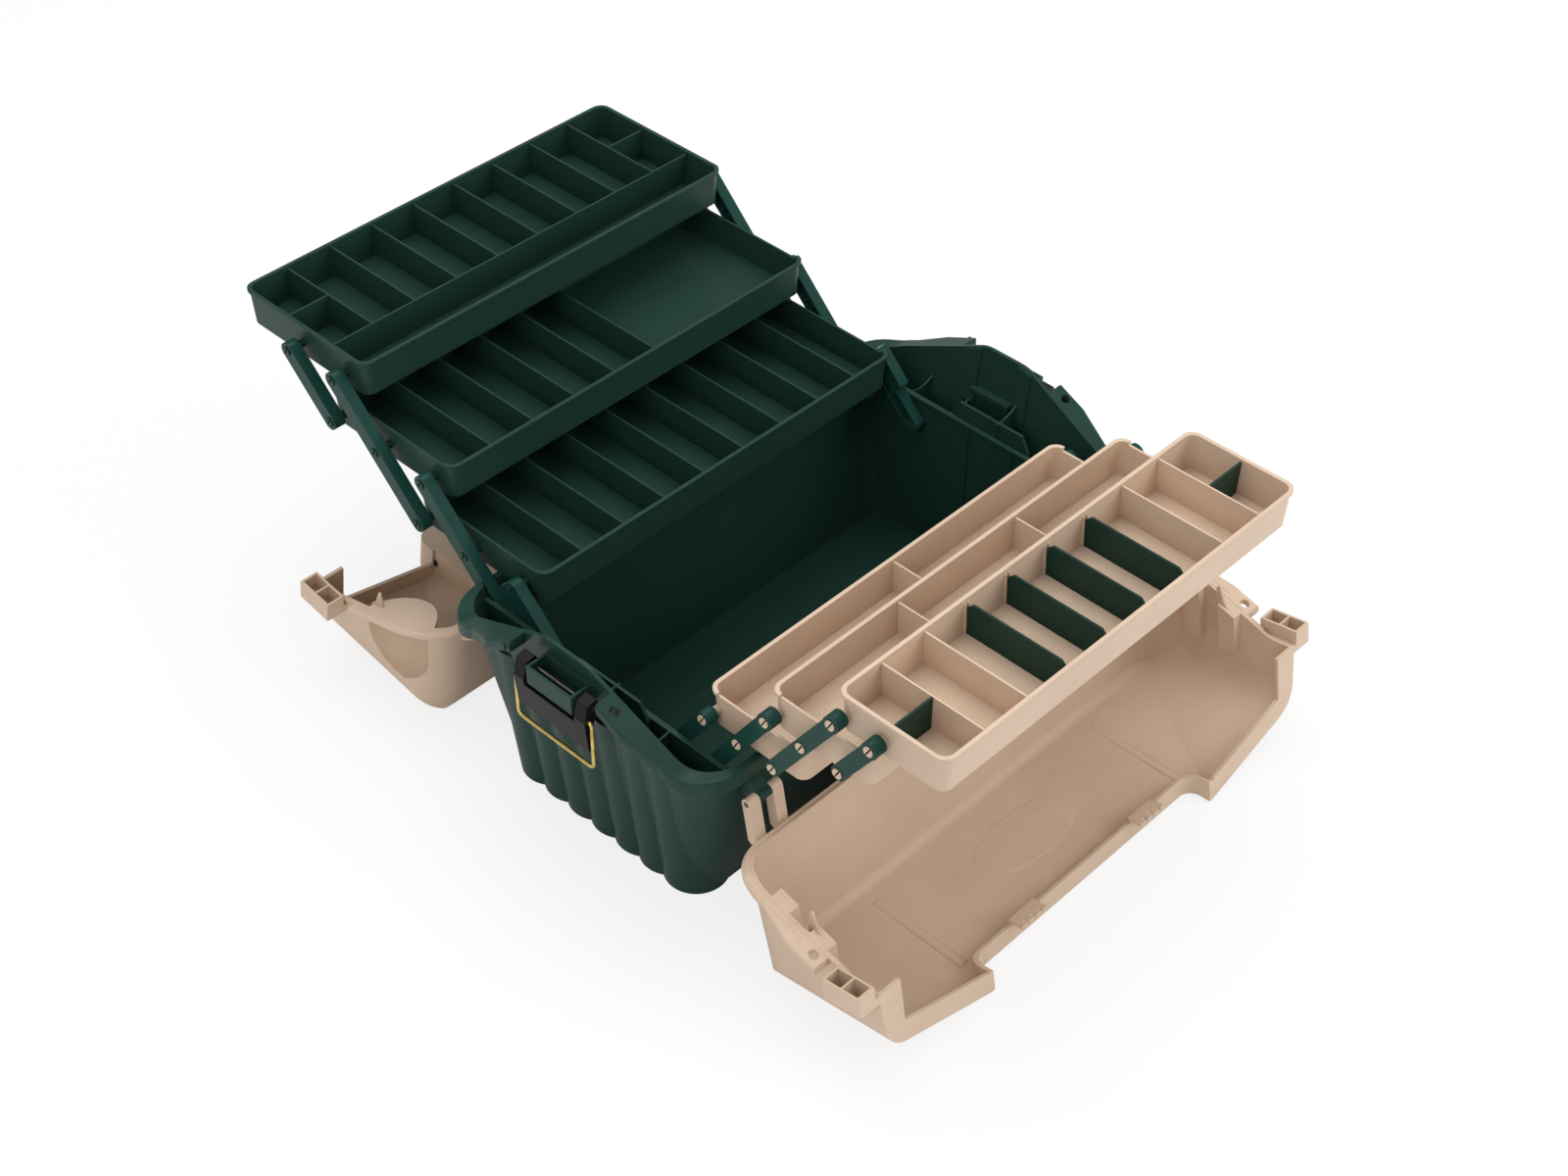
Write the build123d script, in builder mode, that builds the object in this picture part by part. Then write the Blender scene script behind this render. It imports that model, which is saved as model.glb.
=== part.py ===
from build123d import *
import math
import os

os.makedirs("parts", exist_ok=True)

# Hip-roof tackle box, shown open: two half lids laid back, three trays swung out on each side.
# X runs along the box, the tan trays open towards -Y, the green ones towards +Y, Z is up.
# The origin is the middle of the underside. The near end is -X, the far end +X. Millimetres.

# Base tub
FLOOR_LENGTH = 440
FLOOR_WIDTH = 214
FLOOR_CORNER = 28
MOUTH_LENGTH = 492
MOUTH_WIDTH = 297
MOUTH_CORNER = 40
SHELL = 3
END_RIM = 207
SIDE_RIM = 161
RIM_CREST = 22
RIM_FOOT = 118
RIM_BEND = 30
RIM_END_DEPTH = 9
RIM_SIDE_DEPTH = 15
RIM_ROUND = 3

# Flange round the mouth, with the padlock ears on the -Y side
FLANGE_LENGTH = 504
FLANGE_WIDTH = 286
FLANGE_CORNER = 40
EAR_REACH = 260
EAR_NEAR_Y = 46
EAR_FAR_Y = 70
EAR_TAPER_Y = 100
EAR_HOLE_X = 251.7
EAR_HOLE_Y = 55.5
EAR_HOLE_RADIUS = 4
TAB_NEAR_Y = 46
TAB_FAR_Y = 74
TAB_TAPER_Y = 100
TAB_BEAD_RADIUS = 3.4
TAB_BEAD_Y = 53
TAB_BEAD_Z = 187.5

# Shallow flutes down both ends of the tub
FLUTE_RADIUS = 26
FLUTE_SINK = 23.8
FLUTE_PITCH = 27
FLUTE_COUNT = 7
FLUTE_TOP = 150
FLUTE_FADE = 3
TUB_FOOT_ROUND = 7

# Bracket walls inside the ends of the tub
BRACKET_INNER = 209
BRACKET_OUTER = 212
BRACKET_TOP = 151
BRACKET_STRIP = 1.4
BRACKET_STRIP_DEPTH = 3
BRACKET_RIBS = (-40, 7.5)
LUG_PLATE = (214, 216.5)
LUG_PLATE_TOP = 165
LUG_PLATE_Y = (-52, 30)
LUG_PLATE_SLOPE = 8
FIN = 1.5
FIN_TOPS = {-70: (151, 157), -19: (165, 176), 29.5: (151, 157), 72: (151, 157)}
FIN_HOLLOW = 4
END_BANDS = ((-28, -14), (25, 42))
END_BAND_HEIGHT = 1.5
END_LEDGE = (-13, 27, 163, 168)
END_LEDGE_DEPTH = 5

# Keeper boxes in the middle of each end, and the latch that joins them
KEEPER_REACH = 263.5
KEEPER_WALL = 2
BASE_KEEPER_HALF = 24
BASE_KEEPER_BOTTOM = 172
BASE_KEEPER_TOP = 189
LID_KEEPER_HALF = 35
LID_KEEPER_BOTTOM = 196
LID_KEEPER_TOP = 214.5
LATCH_PIN_X = 254.5
LATCH_PIN_Z = 182
LATCH_PIN_RADIUS = 2
BAIL_PIVOT_X = 260
BAIL_PIVOT_Z = 172
BAIL_WIRE = 1.6
BAIL_REACH = 45
BAIL_HALF = 41
LEVER_HALF = 38
LEVER_EAR = 11
LEVER_BOTTOM = 143
LEVER_NOTCH = 168
LEVER_INNER = 257.5
LEVER_OUTER = 261.5
BAIL_EAR = 6.2
BAIL_SINK = 4.5

# Lids
LID_FOOT_Z = 130
LID_HEAD_Z = 290
LID_FOOT = (494, 280, 38)
LID_HEAD = (480, 271, 36)
LID_FLARE = (9, 5)
SHOULDER = (136, 268)
RIDGE_Z = 290.5
RIDGE_ROUND = 30
SHOULDER_ROUND = 12
HIP_FOOT = (240.5, 262)
HIP_HEAD = (130, 291)
HIP_ROUND = 26
HIP_CREST_ROUND = 60
LID_SEAM = 0.75
LID_GAP = 0.6
LID_FLANGE = 6
EDGE_WALL = 16
LID_OPENING = 170
NOTCH_HALF = 130
NOTCH_DEPTH = 21
TONGUE_HALF = 126
TONGUE_REACH = 19
PLAN_ROUND = 12
EDGE_POST_X = 222
LID_BAND_Y = (58, 92)
LID_BAND_WIDTH = 16
LID_BAND_DEPTH = 5
LID_BAND_DROP = 34
CATCH_X = 71
CATCH_WIDTH = 28
CATCH_THICKNESS = 3
CATCH_REACH_Y = -14
CATCH_TOOTH_REACH = 3.5
CATCH_TEETH = 4
TOOTH = 4
CATCH_PLAY = 0.6
DOME_X = 248.5
DOME_Y = 95
DOME_RADIUS = 33
DOME_STRAIGHT_TOP = 205

# Reaches well past the box, for cuts that run right through it
FAR = 300
HIGH = END_RIM + 110

# Hinges
HINGE_Y = 148.5
HINGE_Z = 132
HINGE_X = 196
KNUCKLE_RADIUS = 4.6
HINGE_PIN_RADIUS = 2.4
LUG_WIDTH = 12
LUG_BACK = 6
KNUCKLE_WIDTH = 10
KNUCKLE_GAP = 0.4
RUNNING_GAP = 0.06

# Carrying handle, folded into its recess in the top of the back lid
RECESS_HALF = 120
RECESS_NEAR_Y = -15.5
RECESS_FAR_Y = 62
RECESS_FLOOR = 258
HANDLE_Y = 4
HANDLE_Z = 272
HANDLE_HALF = 105
HANDLE_REACH = 43
HANDLE_STUB_RADIUS = 4
HANDLE_BAR_RADIUS = 5.5
HANDLE_GRIP_RADIUS = 8
HANDLE_GRIP_HALF = 72
HANDLE_BEND = 16

# Trays
TRAY_LENGTH = 389
TRAY_WALL = 2
TRAY_LIP = 1.2
TRAY_LIP_DEPTH = 2.4
TRAY_CORNER = 10
TRAY_DRAFT = 3
DIVIDER = 1.6
DIVIDER_DROP = 2
CELL = 43.3
END_STEP = 2.5
END_STEP_LENGTH = 8
END_NUB = 1.6
TROUGH_WIDTH = 42

# Lift-out dividers of the top tan tray, and the ribs that hold them
LOOSE_DIVIDER = 1.8
LOOSE_DIVIDER_PLAY = 0.4
LOOSE_DIVIDER_SHOULDER = 6
SHORT_DIVIDER_GAP = 0.4
DIVIDER_LINES = 5
LINE_LENGTH = 42
LINE_SHIFT = 5
LINE_PITCH = 3
LINE_HEIGHT = 0.8
LINE_RELIEF = 0.3
RIB = 1.2
RIB_REACH = 1.6
RIB_GAP = 0.3
RIB_DROP = 4

# Tan trays and their links, on the -Y side
FRONT_PIVOT_STEP = 34.5
FRONT_BASE_PIVOT = (-73.2, 139.8)
FRONT_LINK_RISE = (-26.8, 40.4)
FRONT_TRAY_WIDTH = 96
FRONT_TOP_WIDTH = 98
FRONT_TRAY_HEIGHT = 33
FRONT_RIM_ABOVE_PIVOT = 18.4
FRONT_INNER_EDGE = 8
FRONT_LINK_WIDTH = 12.6

# Green trays and their links, on the +Y side
BACK_PIVOT_STEP = 55
BACK_BASE_PIVOT = (60.2, 128.3)
BACK_LINK_RISE = (45.0, 45.8)
BACK_TRAY_WIDTH = 150
BACK_TOP_WIDTH = 152
BACK_TRAY_HEIGHT = 32
BACK_RIM_ABOVE_PIVOT = 20.5
BACK_INNER_EDGE = 24.1
BACK_TOP_INNER_EDGE = 27
BACK_LINK_WIDTH = 14

# Layers of the linkage, as distances from the middle of the box
LINK_OUTER = 207
PLATE_INNER = 203.5
CHANNEL_INNER = 197
CHANNEL_WEB = 2.5
CHANNEL_WALL = 2
POST_END = 208.2
POST_RADIUS = 3.4
POST_SLOT = 1.2
HEAD_RADIUS = 4.1
BOSS_RADIUS = 5.5
SLEEVE_RADIUS = 7
HOLE_RADIUS = 3.48
NOTCH_GAP = 2.5
NOTCH_INNER_Y = 126
LINK_WING = 8


def rectangle_at(z, length, width, corner, y=0):
    """A rounded rectangle lying flat at one height."""
    with BuildSketch(Plane.XY.offset(z)) as profile:
        with Locations((0, y)):
            RectangleRounded(length, width, corner)
    return profile.sketch


def slab(x0, x1, y0, y1, z0, z1, mode=Mode.ADD):
    """A block given by its two opposite corners."""
    with BuildSketch(Plane.XY.offset(z0)) as profile:
        with Locations(((x0 + x1) / 2, (y0 + y1) / 2)):
            Rectangle(abs(x1 - x0), abs(y1 - y0))
    extrude(profile.sketch, amount=z1 - z0, mode=mode)


def rod(y, z, radius, x0, x1, mode=Mode.ADD):
    """A round bar or bore parallel to X."""
    with BuildSketch(Plane.YZ.offset(x0)) as profile:
        with Locations((y, z)):
            Circle(radius)
    extrude(profile.sketch, amount=x1 - x0, mode=mode)


def wall_profile(points, x0, x1, mode=Mode.ADD):
    """A polygon in the Y-Z plane carried from x0 to x1."""
    with BuildSketch(Plane.YZ.offset(x0)) as profile:
        Polygon(*points, align=None)
    extrude(profile.sketch, amount=x1 - x0, mode=mode)


def rim_points(lift=0):
    """The top edge of the tub seen from the end: high at the latch, low along the hinges."""
    half = FLANGE_WIDTH / 2 + 20
    return (
        (-half, SIDE_RIM + lift),
        (-RIM_FOOT, SIDE_RIM + lift),
        (-RIM_CREST, END_RIM + lift),
        (RIM_CREST, END_RIM + lift),
        (RIM_FOOT, SIDE_RIM + lift),
        (half, SIDE_RIM + lift),
    )


def rim_band(low_lift, high_lift, side_drop, reach, mode):
    """The strip between two copies of the rim line, carried across the box."""
    low = list(rim_points(low_lift))
    for place in (0, 1, 4, 5):
        low[place] = (low[place][0], low[place][1] - side_drop)
    with BuildSketch(Plane.YZ) as profile:
        with BuildLine():
            upper = FilletPolyline(*rim_points(high_lift), radius=RIM_BEND)
            lower = FilletPolyline(*low, radius=RIM_BEND)
            Line(upper @ 0, lower @ 0)
            Line(upper @ 1, lower @ 1)
        make_face()
    extrude(profile.sketch, amount=reach, both=True, mode=mode)


def beside_rim(lift, far_z, reach, mode):
    """Everything between the rim line and a level height, carried across the box."""
    with BuildSketch(Plane.YZ) as profile:
        with BuildLine():
            edge = FilletPolyline(*rim_points(lift), radius=RIM_BEND)
            Polyline(edge @ 1, ((edge @ 1).X, far_z), ((edge @ 0).X, far_z), edge @ 0)
        make_face()
    extrude(profile.sketch, amount=reach, both=True, mode=mode)


def widening(near_y, far_y, taper_y):
    """The outline of a place where the end flange is wider, tapering away from the latch."""
    edge = FLANGE_LENGTH / 2
    root = edge - 8
    return ((root, near_y), (EAR_REACH, near_y), (EAR_REACH, far_y), (edge, taper_y), (root, taper_y))


def flange_plan(z, tabs):
    """The outline of the mouth flange, open round the latch and widened to the padlock ears."""
    outlines = [widening(-EAR_NEAR_Y, -EAR_FAR_Y, -EAR_TAPER_Y)]
    if tabs:
        outlines.append(widening(TAB_NEAR_Y, TAB_FAR_Y, TAB_TAPER_Y))
    with BuildSketch(Plane.XY.offset(z)) as profile:
        RectangleRounded(FLANGE_LENGTH, FLANGE_WIDTH, FLANGE_CORNER)
        for end in (-1, 1):
            for outline in outlines:
                Polygon(*((end * x, y) for x, y in outline), align=None)
            with Locations((end * FLANGE_LENGTH / 2, 0)):
                Rectangle(16, 2 * EAR_NEAR_Y, mode=Mode.SUBTRACT)
    return profile.sketch


def outer_rim_edges(band):
    """The edges that run round a flange, without the lines that cross it."""
    half = FLANGE_WIDTH / 2 - 1
    crossing = [e for e in band.edges().filter_by(Axis.X) if abs(e.center().Y) < half]
    upright = list(band.edges().filter_by(Axis.Z))
    return [e for e in band.edges() if e not in crossing and e not in upright]


def tub_loft(inset, bottom, mode=Mode.ADD):
    """The tapered body of the tub, drawn in by a wall thickness."""
    sections = []
    for z in (bottom, END_RIM + 6):
        share = z / END_RIM
        length = FLOOR_LENGTH + (MOUTH_LENGTH - FLOOR_LENGTH) * share - 2 * inset
        width = FLOOR_WIDTH + (MOUTH_WIDTH - FLOOR_WIDTH) * share - 2 * inset
        corner = FLOOR_CORNER + (MOUTH_CORNER - FLOOR_CORNER) * share - inset
        sections.append(rectangle_at(z, length, width, corner))
    loft(sections, ruled=True, mode=mode)


def tub_half_length(z):
    """Half the outer length of the tub at a height."""
    return (FLOOR_LENGTH + (MOUTH_LENGTH - FLOOR_LENGTH) * z / END_RIM) / 2


def tub_half_width(z):
    """Half the outer width of the tub at a height."""
    return (FLOOR_WIDTH + (MOUTH_WIDTH - FLOOR_WIDTH) * z / END_RIM) / 2


with BuildPart() as tub_flange:
    extrude(flange_plan(SIDE_RIM - 30, True), amount=END_RIM - SIDE_RIM + 40)
    rim_band(-RIM_END_DEPTH, 0, RIM_SIDE_DEPTH - RIM_END_DEPTH, FAR, Mode.INTERSECT)
    fillet(outer_rim_edges(tub_flange), RIM_ROUND)
    # The end of each tab is a rounded bead
    for end in (-1, 1):
        reach = (end * FLANGE_LENGTH / 2, end * (EAR_REACH + 1.5))
        rod(TAB_BEAD_Y, TAB_BEAD_Z, TAB_BEAD_RADIUS, *reach)

with BuildPart() as end_flutes:
    for end in (-1, 1):
        lean = Plane(
            origin=(end * (tub_half_length(0) - FLUTE_SINK), 0, -20),
            x_dir=(0, 1, 0),
            z_dir=(end * ((MOUTH_LENGTH - FLOOR_LENGTH) / 2 - FLUTE_FADE), 0, END_RIM),
        )
        with BuildSketch(lean):
            with GridLocations(FLUTE_PITCH, 1, FLUTE_COUNT, 1):
                Circle(FLUTE_RADIUS)
        extrude(amount=FLUTE_TOP + 30)
    slab(-FAR, FAR, -FAR, FAR, 0, FLUTE_TOP, Mode.INTERSECT)


def bracket_fin(end, y, inner_top, outer_top):
    """A thin web from the bracket wall to the end of the tub, with a hollowed top edge."""
    outer = tub_half_length(outer_top)
    middle = (BRACKET_OUTER + outer) / 2
    with BuildSketch(Plane.XZ.offset(-y)) as profile:
        with BuildLine():
            Polyline(
                (end * BRACKET_OUTER, inner_top),
                (end * BRACKET_OUTER, SHELL / 2),
                (end * outer, SHELL / 2),
                (end * outer, outer_top),
            )
            ThreePointArc(
                (end * outer, outer_top),
                (end * middle, (inner_top + outer_top) / 2 - FIN_HOLLOW),
                (end * BRACKET_OUTER, inner_top),
            )
        make_face()
    extrude(profile.sketch, amount=FIN / 2, both=True)


# End brackets inside the tub carry the lowest link pivots
with BuildPart() as end_brackets:
    half = tub_half_width(BRACKET_TOP)
    strip = (BRACKET_TOP - BRACKET_STRIP_DEPTH, BRACKET_TOP)
    for end in (-1, 1):
        face = end * (BRACKET_INNER - BRACKET_STRIP)
        slab(end * BRACKET_INNER, end * BRACKET_OUTER, -half, half, 0, BRACKET_TOP)
        slab(face, end * BRACKET_INNER, -half, half, *strip)
        for y in BRACKET_RIBS:
            slab(face, end * BRACKET_INNER, y - FIN / 2, y + FIN / 2, 0, BRACKET_TOP)
        low, high = LUG_PLATE_Y
        plate = (
            (low, 0),
            (low, BRACKET_TOP),
            (low + LUG_PLATE_SLOPE, LUG_PLATE_TOP),
            (high - LUG_PLATE_SLOPE, LUG_PLATE_TOP),
            (high, BRACKET_TOP),
            (high, 0),
        )
        wall_profile(plate, end * LUG_PLATE[0], end * LUG_PLATE[1])
        for y, tops in FIN_TOPS.items():
            bracket_fin(end, y, *tops)
    tub_loft(SHELL / 2, SHELL / 2, Mode.INTERSECT)

# Raised bands and a small ledge stand in from the end walls
with BuildPart() as end_bands:
    for end in (-1, 1):
        for low, high in END_BANDS:
            slab(end * BRACKET_OUTER, end * KEEPER_REACH, low, high, BRACKET_TOP, END_RIM)
    tub_loft(SHELL + END_BAND_HEIGHT, 0, Mode.SUBTRACT)
    beside_rim(-END_BAND_HEIGHT, HIGH, FAR, Mode.SUBTRACT)
    y0, y1, z0, z1 = END_LEDGE
    for end in (-1, 1):
        face = tub_half_length(z0) - SHELL - END_LEDGE_DEPTH
        slab(end * face, end * KEEPER_REACH, y0, y1, z0, z1)
    tub_loft(SHELL / 2, 0, Mode.INTERSECT)

with BuildPart() as base_tub:
    tub_loft(0, 0)
    fillet(base_tub.edges().group_by(Axis.Z)[0], TUB_FOOT_ROUND)
    add(end_flutes.part)
    add(tub_flange.part)
    for end in (-1, 1):
        slab(
            end * (tub_half_length(BASE_KEEPER_BOTTOM) - SHELL / 2),
            end * KEEPER_REACH,
            -BASE_KEEPER_HALF,
            BASE_KEEPER_HALF,
            BASE_KEEPER_BOTTOM,
            BASE_KEEPER_TOP,
        )
    tub_loft(SHELL, SHELL, Mode.SUBTRACT)
    beside_rim(0, HIGH, FAR, Mode.SUBTRACT)
    for end in (-1, 1):
        slab(
            end * (tub_half_length(BASE_KEEPER_TOP) + KEEPER_WALL),
            end * (KEEPER_REACH - KEEPER_WALL),
            KEEPER_WALL - BASE_KEEPER_HALF,
            BASE_KEEPER_HALF - KEEPER_WALL,
            BASE_KEEPER_BOTTOM + KEEPER_WALL,
            BASE_KEEPER_TOP + 1,
            Mode.SUBTRACT,
        )
    # Pin holes through the sides of the keeper boxes
    with BuildSketch(Plane.XZ.offset(-BASE_KEEPER_HALF - 1)):
        with Locations((-LATCH_PIN_X, LATCH_PIN_Z), (LATCH_PIN_X, LATCH_PIN_Z)):
            Circle(LATCH_PIN_RADIUS + RUNNING_GAP)
    extrude(amount=2 * BASE_KEEPER_HALF + 2, mode=Mode.SUBTRACT)
    # Padlock holes, square to the slope of the rim
    slope = math.degrees(math.atan2(END_RIM - SIDE_RIM, RIM_FOOT - RIM_CREST))
    for end in (-1, 1):
        spot = Location((end * EAR_HOLE_X, -EAR_HOLE_Y, END_RIM - 20), (slope, 0, 0))
        with Locations(spot):
            Cylinder(EAR_HOLE_RADIUS, 40, mode=Mode.SUBTRACT)
    add(end_brackets.part)
    add(end_bands.part)
    # Hinge lugs under the flange, two on each long side
    for side in (-1, 1):
        for x in (-HINGE_X, HINGE_X):
            wall = tub_half_width(HINGE_Z) - SHELL / 2
            lug = (
                (side * wall, HINGE_Z - 7),
                (side * HINGE_Y, HINGE_Z - KNUCKLE_RADIUS),
                (side * HINGE_Y, HINGE_Z + KNUCKLE_RADIUS),
                (side * (FLANGE_WIDTH / 2 - LUG_BACK), SIDE_RIM - RIM_SIDE_DEPTH + 2),
                (side * (wall + 2), SIDE_RIM - RIM_SIDE_DEPTH + 2),
            )
            wall_profile(lug, x - LUG_WIDTH / 2, x + LUG_WIDTH / 2)
            rod(side * HINGE_Y, HINGE_Z, KNUCKLE_RADIUS, x - LUG_WIDTH / 2, x + LUG_WIDTH / 2)
            bore = HINGE_PIN_RADIUS + RUNNING_GAP
            rod(side * HINGE_Y, HINGE_Z, bore, x - LUG_WIDTH, x + LUG_WIDTH, Mode.SUBTRACT)
    # The second green link leaves the tub through a sloping notch in the rim
    away = math.atan2(BACK_LINK_RISE[1], BACK_LINK_RISE[0])
    drop = BACK_LINK_WIDTH / 2 + NOTCH_GAP
    start_y = BACK_BASE_PIVOT[0] + BACK_PIVOT_STEP + drop * math.sin(away)
    start_z = BACK_BASE_PIVOT[1] - drop * math.cos(away)
    ends = (NOTCH_INNER_Y, HINGE_Y + 1)
    floor = [(y, start_z + (y - start_y) * math.tan(away)) for y in ends]
    notch = (*floor, (ends[1], SIDE_RIM + 10), (ends[0], SIDE_RIM + 10))
    for end in (-1, 1):
        wall_profile(
            notch,
            end * (CHANNEL_INNER - 1.5),
            end * (BRACKET_INNER - 0.4),
            Mode.SUBTRACT,
        )
    # Pivot stubs that carry the two lowest links of each side, with a washer face
    for end in (-1, 1):
        for side, (y, z), step in (
            (-1, FRONT_BASE_PIVOT, FRONT_PIVOT_STEP),
            (1, BACK_BASE_PIVOT, BACK_PIVOT_STEP),
        ):
            inner = PLATE_INNER - 1 if side < 0 else CHANNEL_INNER - 1
            for place in (0, 1):
                stub = y + side * step * place
                rod(stub, z, BOSS_RADIUS, end * (LINK_OUTER + 0.4), end * (BRACKET_INNER + 1))
                rod(stub, z, POST_RADIUS, end * inner, end * (BRACKET_INNER + 1))


def lid_shape(inset):
    """The closed outside of both lids as one block, drawn in by a wall thickness."""
    sections = []
    for z, (length, width, corner) in ((LID_FOOT_Z, LID_FOOT), (LID_HEAD_Z + 4, LID_HEAD)):
        sections.append(rectangle_at(z, length - 2 * inset, width - 2 * inset, corner - inset))
    loft(sections, ruled=True)
    y, z = SHOULDER
    foot = y + LID_FLARE[1] - inset
    with BuildSketch(Plane.YZ) as profile:
        with BuildLine():
            FilletPolyline(
                (-foot, LID_FOOT_Z - 1),
                (inset - y, z - inset),
                (0, RIDGE_Z - inset),
                (y - inset, z - inset),
                (foot, LID_FOOT_Z - 1),
                radius=(SHOULDER_ROUND - inset, RIDGE_ROUND, SHOULDER_ROUND - inset),
            )
            Line((foot, LID_FOOT_Z - 1), (-foot, LID_FOOT_Z - 1))
        make_face()
    extrude(profile.sketch, amount=FAR, both=True, mode=Mode.INTERSECT)
    hip_z = HIP_FOOT[1] - inset
    head_z = HIP_HEAD[1] - inset
    foot = HIP_FOOT[0] + LID_FLARE[0] - inset
    crest = (HIP_CREST_ROUND, HIP_CREST_ROUND)
    with BuildSketch(Plane.XZ) as profile:
        with BuildLine():
            FilletPolyline(
                (-foot, LID_FOOT_Z - 1),
                (inset - HIP_FOOT[0], hip_z),
                (-HIP_HEAD[0], head_z),
                (HIP_HEAD[0], head_z),
                (HIP_FOOT[0] - inset, hip_z),
                (foot, LID_FOOT_Z - 1),
                radius=(HIP_ROUND - inset, *crest, HIP_ROUND - inset),
            )
            Line((foot, LID_FOOT_Z - 1), (-foot, LID_FOOT_Z - 1))
        make_face()
    extrude(profile.sketch, amount=FAR, both=True, mode=Mode.INTERSECT)


with BuildPart() as lid_outside:
    lid_shape(0)

with BuildPart() as lid_inside:
    lid_shape(SHELL)


def front_plan(inset, mode):
    """Plan of the front lid: half the box, less the notch for the handle tongue."""
    with BuildSketch(Plane.XY.offset(LID_FOOT_Z - 20)) as profile:
        with Locations((0, -LID_SEAM - inset)):
            Rectangle(2 * FAR, FAR, align=(Align.CENTER, Align.MAX))
        with Locations((0, 0)):
            notch_length, notch_width = 2 * (NOTCH_HALF + inset), 2 * (NOTCH_DEPTH + inset)
            RectangleRounded(notch_length, notch_width, PLAN_ROUND, mode=Mode.SUBTRACT)
    extrude(profile.sketch, amount=FAR, mode=mode)


def back_plan(inset, mode):
    """Plan of the back lid: the other half, with the tongue that carries the handle."""
    with BuildSketch(Plane.XY.offset(LID_FOOT_Z - 20)) as profile:
        with Locations((0, LID_SEAM + inset)):
            Rectangle(2 * FAR, FAR, align=(Align.CENTER, Align.MIN))
        with Locations((0, 0)):
            RectangleRounded(2 * (TONGUE_HALF - inset), 2 * (TONGUE_REACH - inset), PLAN_ROUND - inset)
    extrude(profile.sketch, amount=FAR, mode=mode)


with BuildPart() as lid_flange:
    extrude(flange_plan(SIDE_RIM - 10, False), amount=END_RIM - SIDE_RIM + 40)
    rim_band(LID_GAP, LID_GAP + LID_FLANGE, 0, FAR, Mode.INTERSECT)
    fillet(outer_rim_edges(lid_flange), RIM_ROUND - 1)


def edge_wall_trim(side, start):
    """Cuts the wall along the free edge of a lid to its height below the sloping roof."""
    drop = EDGE_WALL + SHELL
    for end in (-1, 1):
        with BuildSketch(Plane.XZ.offset(-side * (SHELL + LID_SEAM + 0.1))) as profile:
            Polygon(
                (end * start, LID_FOOT_Z),
                (end * EDGE_POST_X, LID_FOOT_Z),
                (end * EDGE_POST_X, hip_height(EDGE_POST_X) - drop),
                (end * start, hip_height(start) - drop),
                align=None,
            )
        extrude(profile.sketch, amount=side * (SHELL + 0.2), mode=Mode.SUBTRACT)


def hip_height(x):
    """Height of the sloping roof end above a place along the box."""
    run = (abs(x) - HIP_HEAD[0]) / (HIP_FOOT[0] - HIP_HEAD[0])
    return HIP_HEAD[1] + (HIP_FOOT[1] - HIP_HEAD[1]) * max(0, run)


def lid_hinge_arms(side):
    """Arms that reach down outside the tub flange to the hinge pins."""
    outer = HINGE_Y + KNUCKLE_RADIUS - 0.3
    inner = FLANGE_WIDTH / 2 + 0.7
    root = LID_FOOT[1] / 2 - 2
    arm = (
        (side * inner, HINGE_Z),
        (side * outer, HINGE_Z),
        (side * outer, SIDE_RIM + 6),
        (side * root, SIDE_RIM + 20),
        (side * root, SIDE_RIM + LID_GAP + 1),
        (side * inner, SIDE_RIM + LID_GAP + 1),
    )
    offset = (LUG_WIDTH + KNUCKLE_WIDTH) / 2 + KNUCKLE_GAP
    for hinge in (-HINGE_X, HINGE_X):
        for x in (hinge - offset, hinge + offset):
            x0, x1 = x - KNUCKLE_WIDTH / 2, x + KNUCKLE_WIDTH / 2
            wall_profile(arm, x0, x1)
            rod(side * HINGE_Y, HINGE_Z, KNUCKLE_RADIUS, x0, x1)
            rod(side * HINGE_Y, HINGE_Z, HINGE_PIN_RADIUS + RUNNING_GAP, x0 - 1, x1 + 1, Mode.SUBTRACT)


def lid_keepers(side):
    """Boxes at both ends that the latch bail hooks over, open downwards."""
    inner = tub_half_length(END_RIM) + 1
    y0, y1 = side * LID_SEAM, side * LID_KEEPER_HALF
    wall_in = side * KEEPER_WALL
    for end in (-1, 1):
        slab(end * inner, end * KEEPER_REACH, y0, y1, LID_KEEPER_BOTTOM, LID_KEEPER_TOP)
        slab(end * (inner - 6), end * inner, y0, y1, END_RIM + LID_GAP + 0.5, LID_KEEPER_TOP)
        pocket = (end * (inner + KEEPER_WALL), end * (KEEPER_REACH - KEEPER_WALL))
        slab(
            *pocket,
            y0 + wall_in,
            y1 - wall_in,
            LID_KEEPER_BOTTOM - 1,
            LID_KEEPER_TOP - KEEPER_WALL,
            Mode.SUBTRACT,
        )
        # A thin fin stiffens the box
        middle = (y0 + y1) / 2
        slab(*pocket, middle - 0.8, middle + 0.8, LID_KEEPER_BOTTOM, LID_KEEPER_TOP - 1)


tab_z = RIDGE_Z - EDGE_WALL - SHELL - CATCH_THICKNESS - 1

with BuildPart() as front_core:
    add(lid_inside.part)
    front_plan(SHELL, Mode.INTERSECT)
    # Stiffening bands stand in from the end walls
    for end in (-1, 1):
        for y in LID_BAND_Y:
            slab(
                end * (LID_HEAD[0] / 2 - SHELL - LID_BAND_DEPTH),
                end * LID_FOOT[0],
                -y - LID_BAND_WIDTH / 2,
                -y + LID_BAND_WIDTH / 2,
                LID_FOOT_Z - 5,
                HIP_FOOT[1] - LID_BAND_DROP,
                Mode.SUBTRACT,
            )

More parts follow.
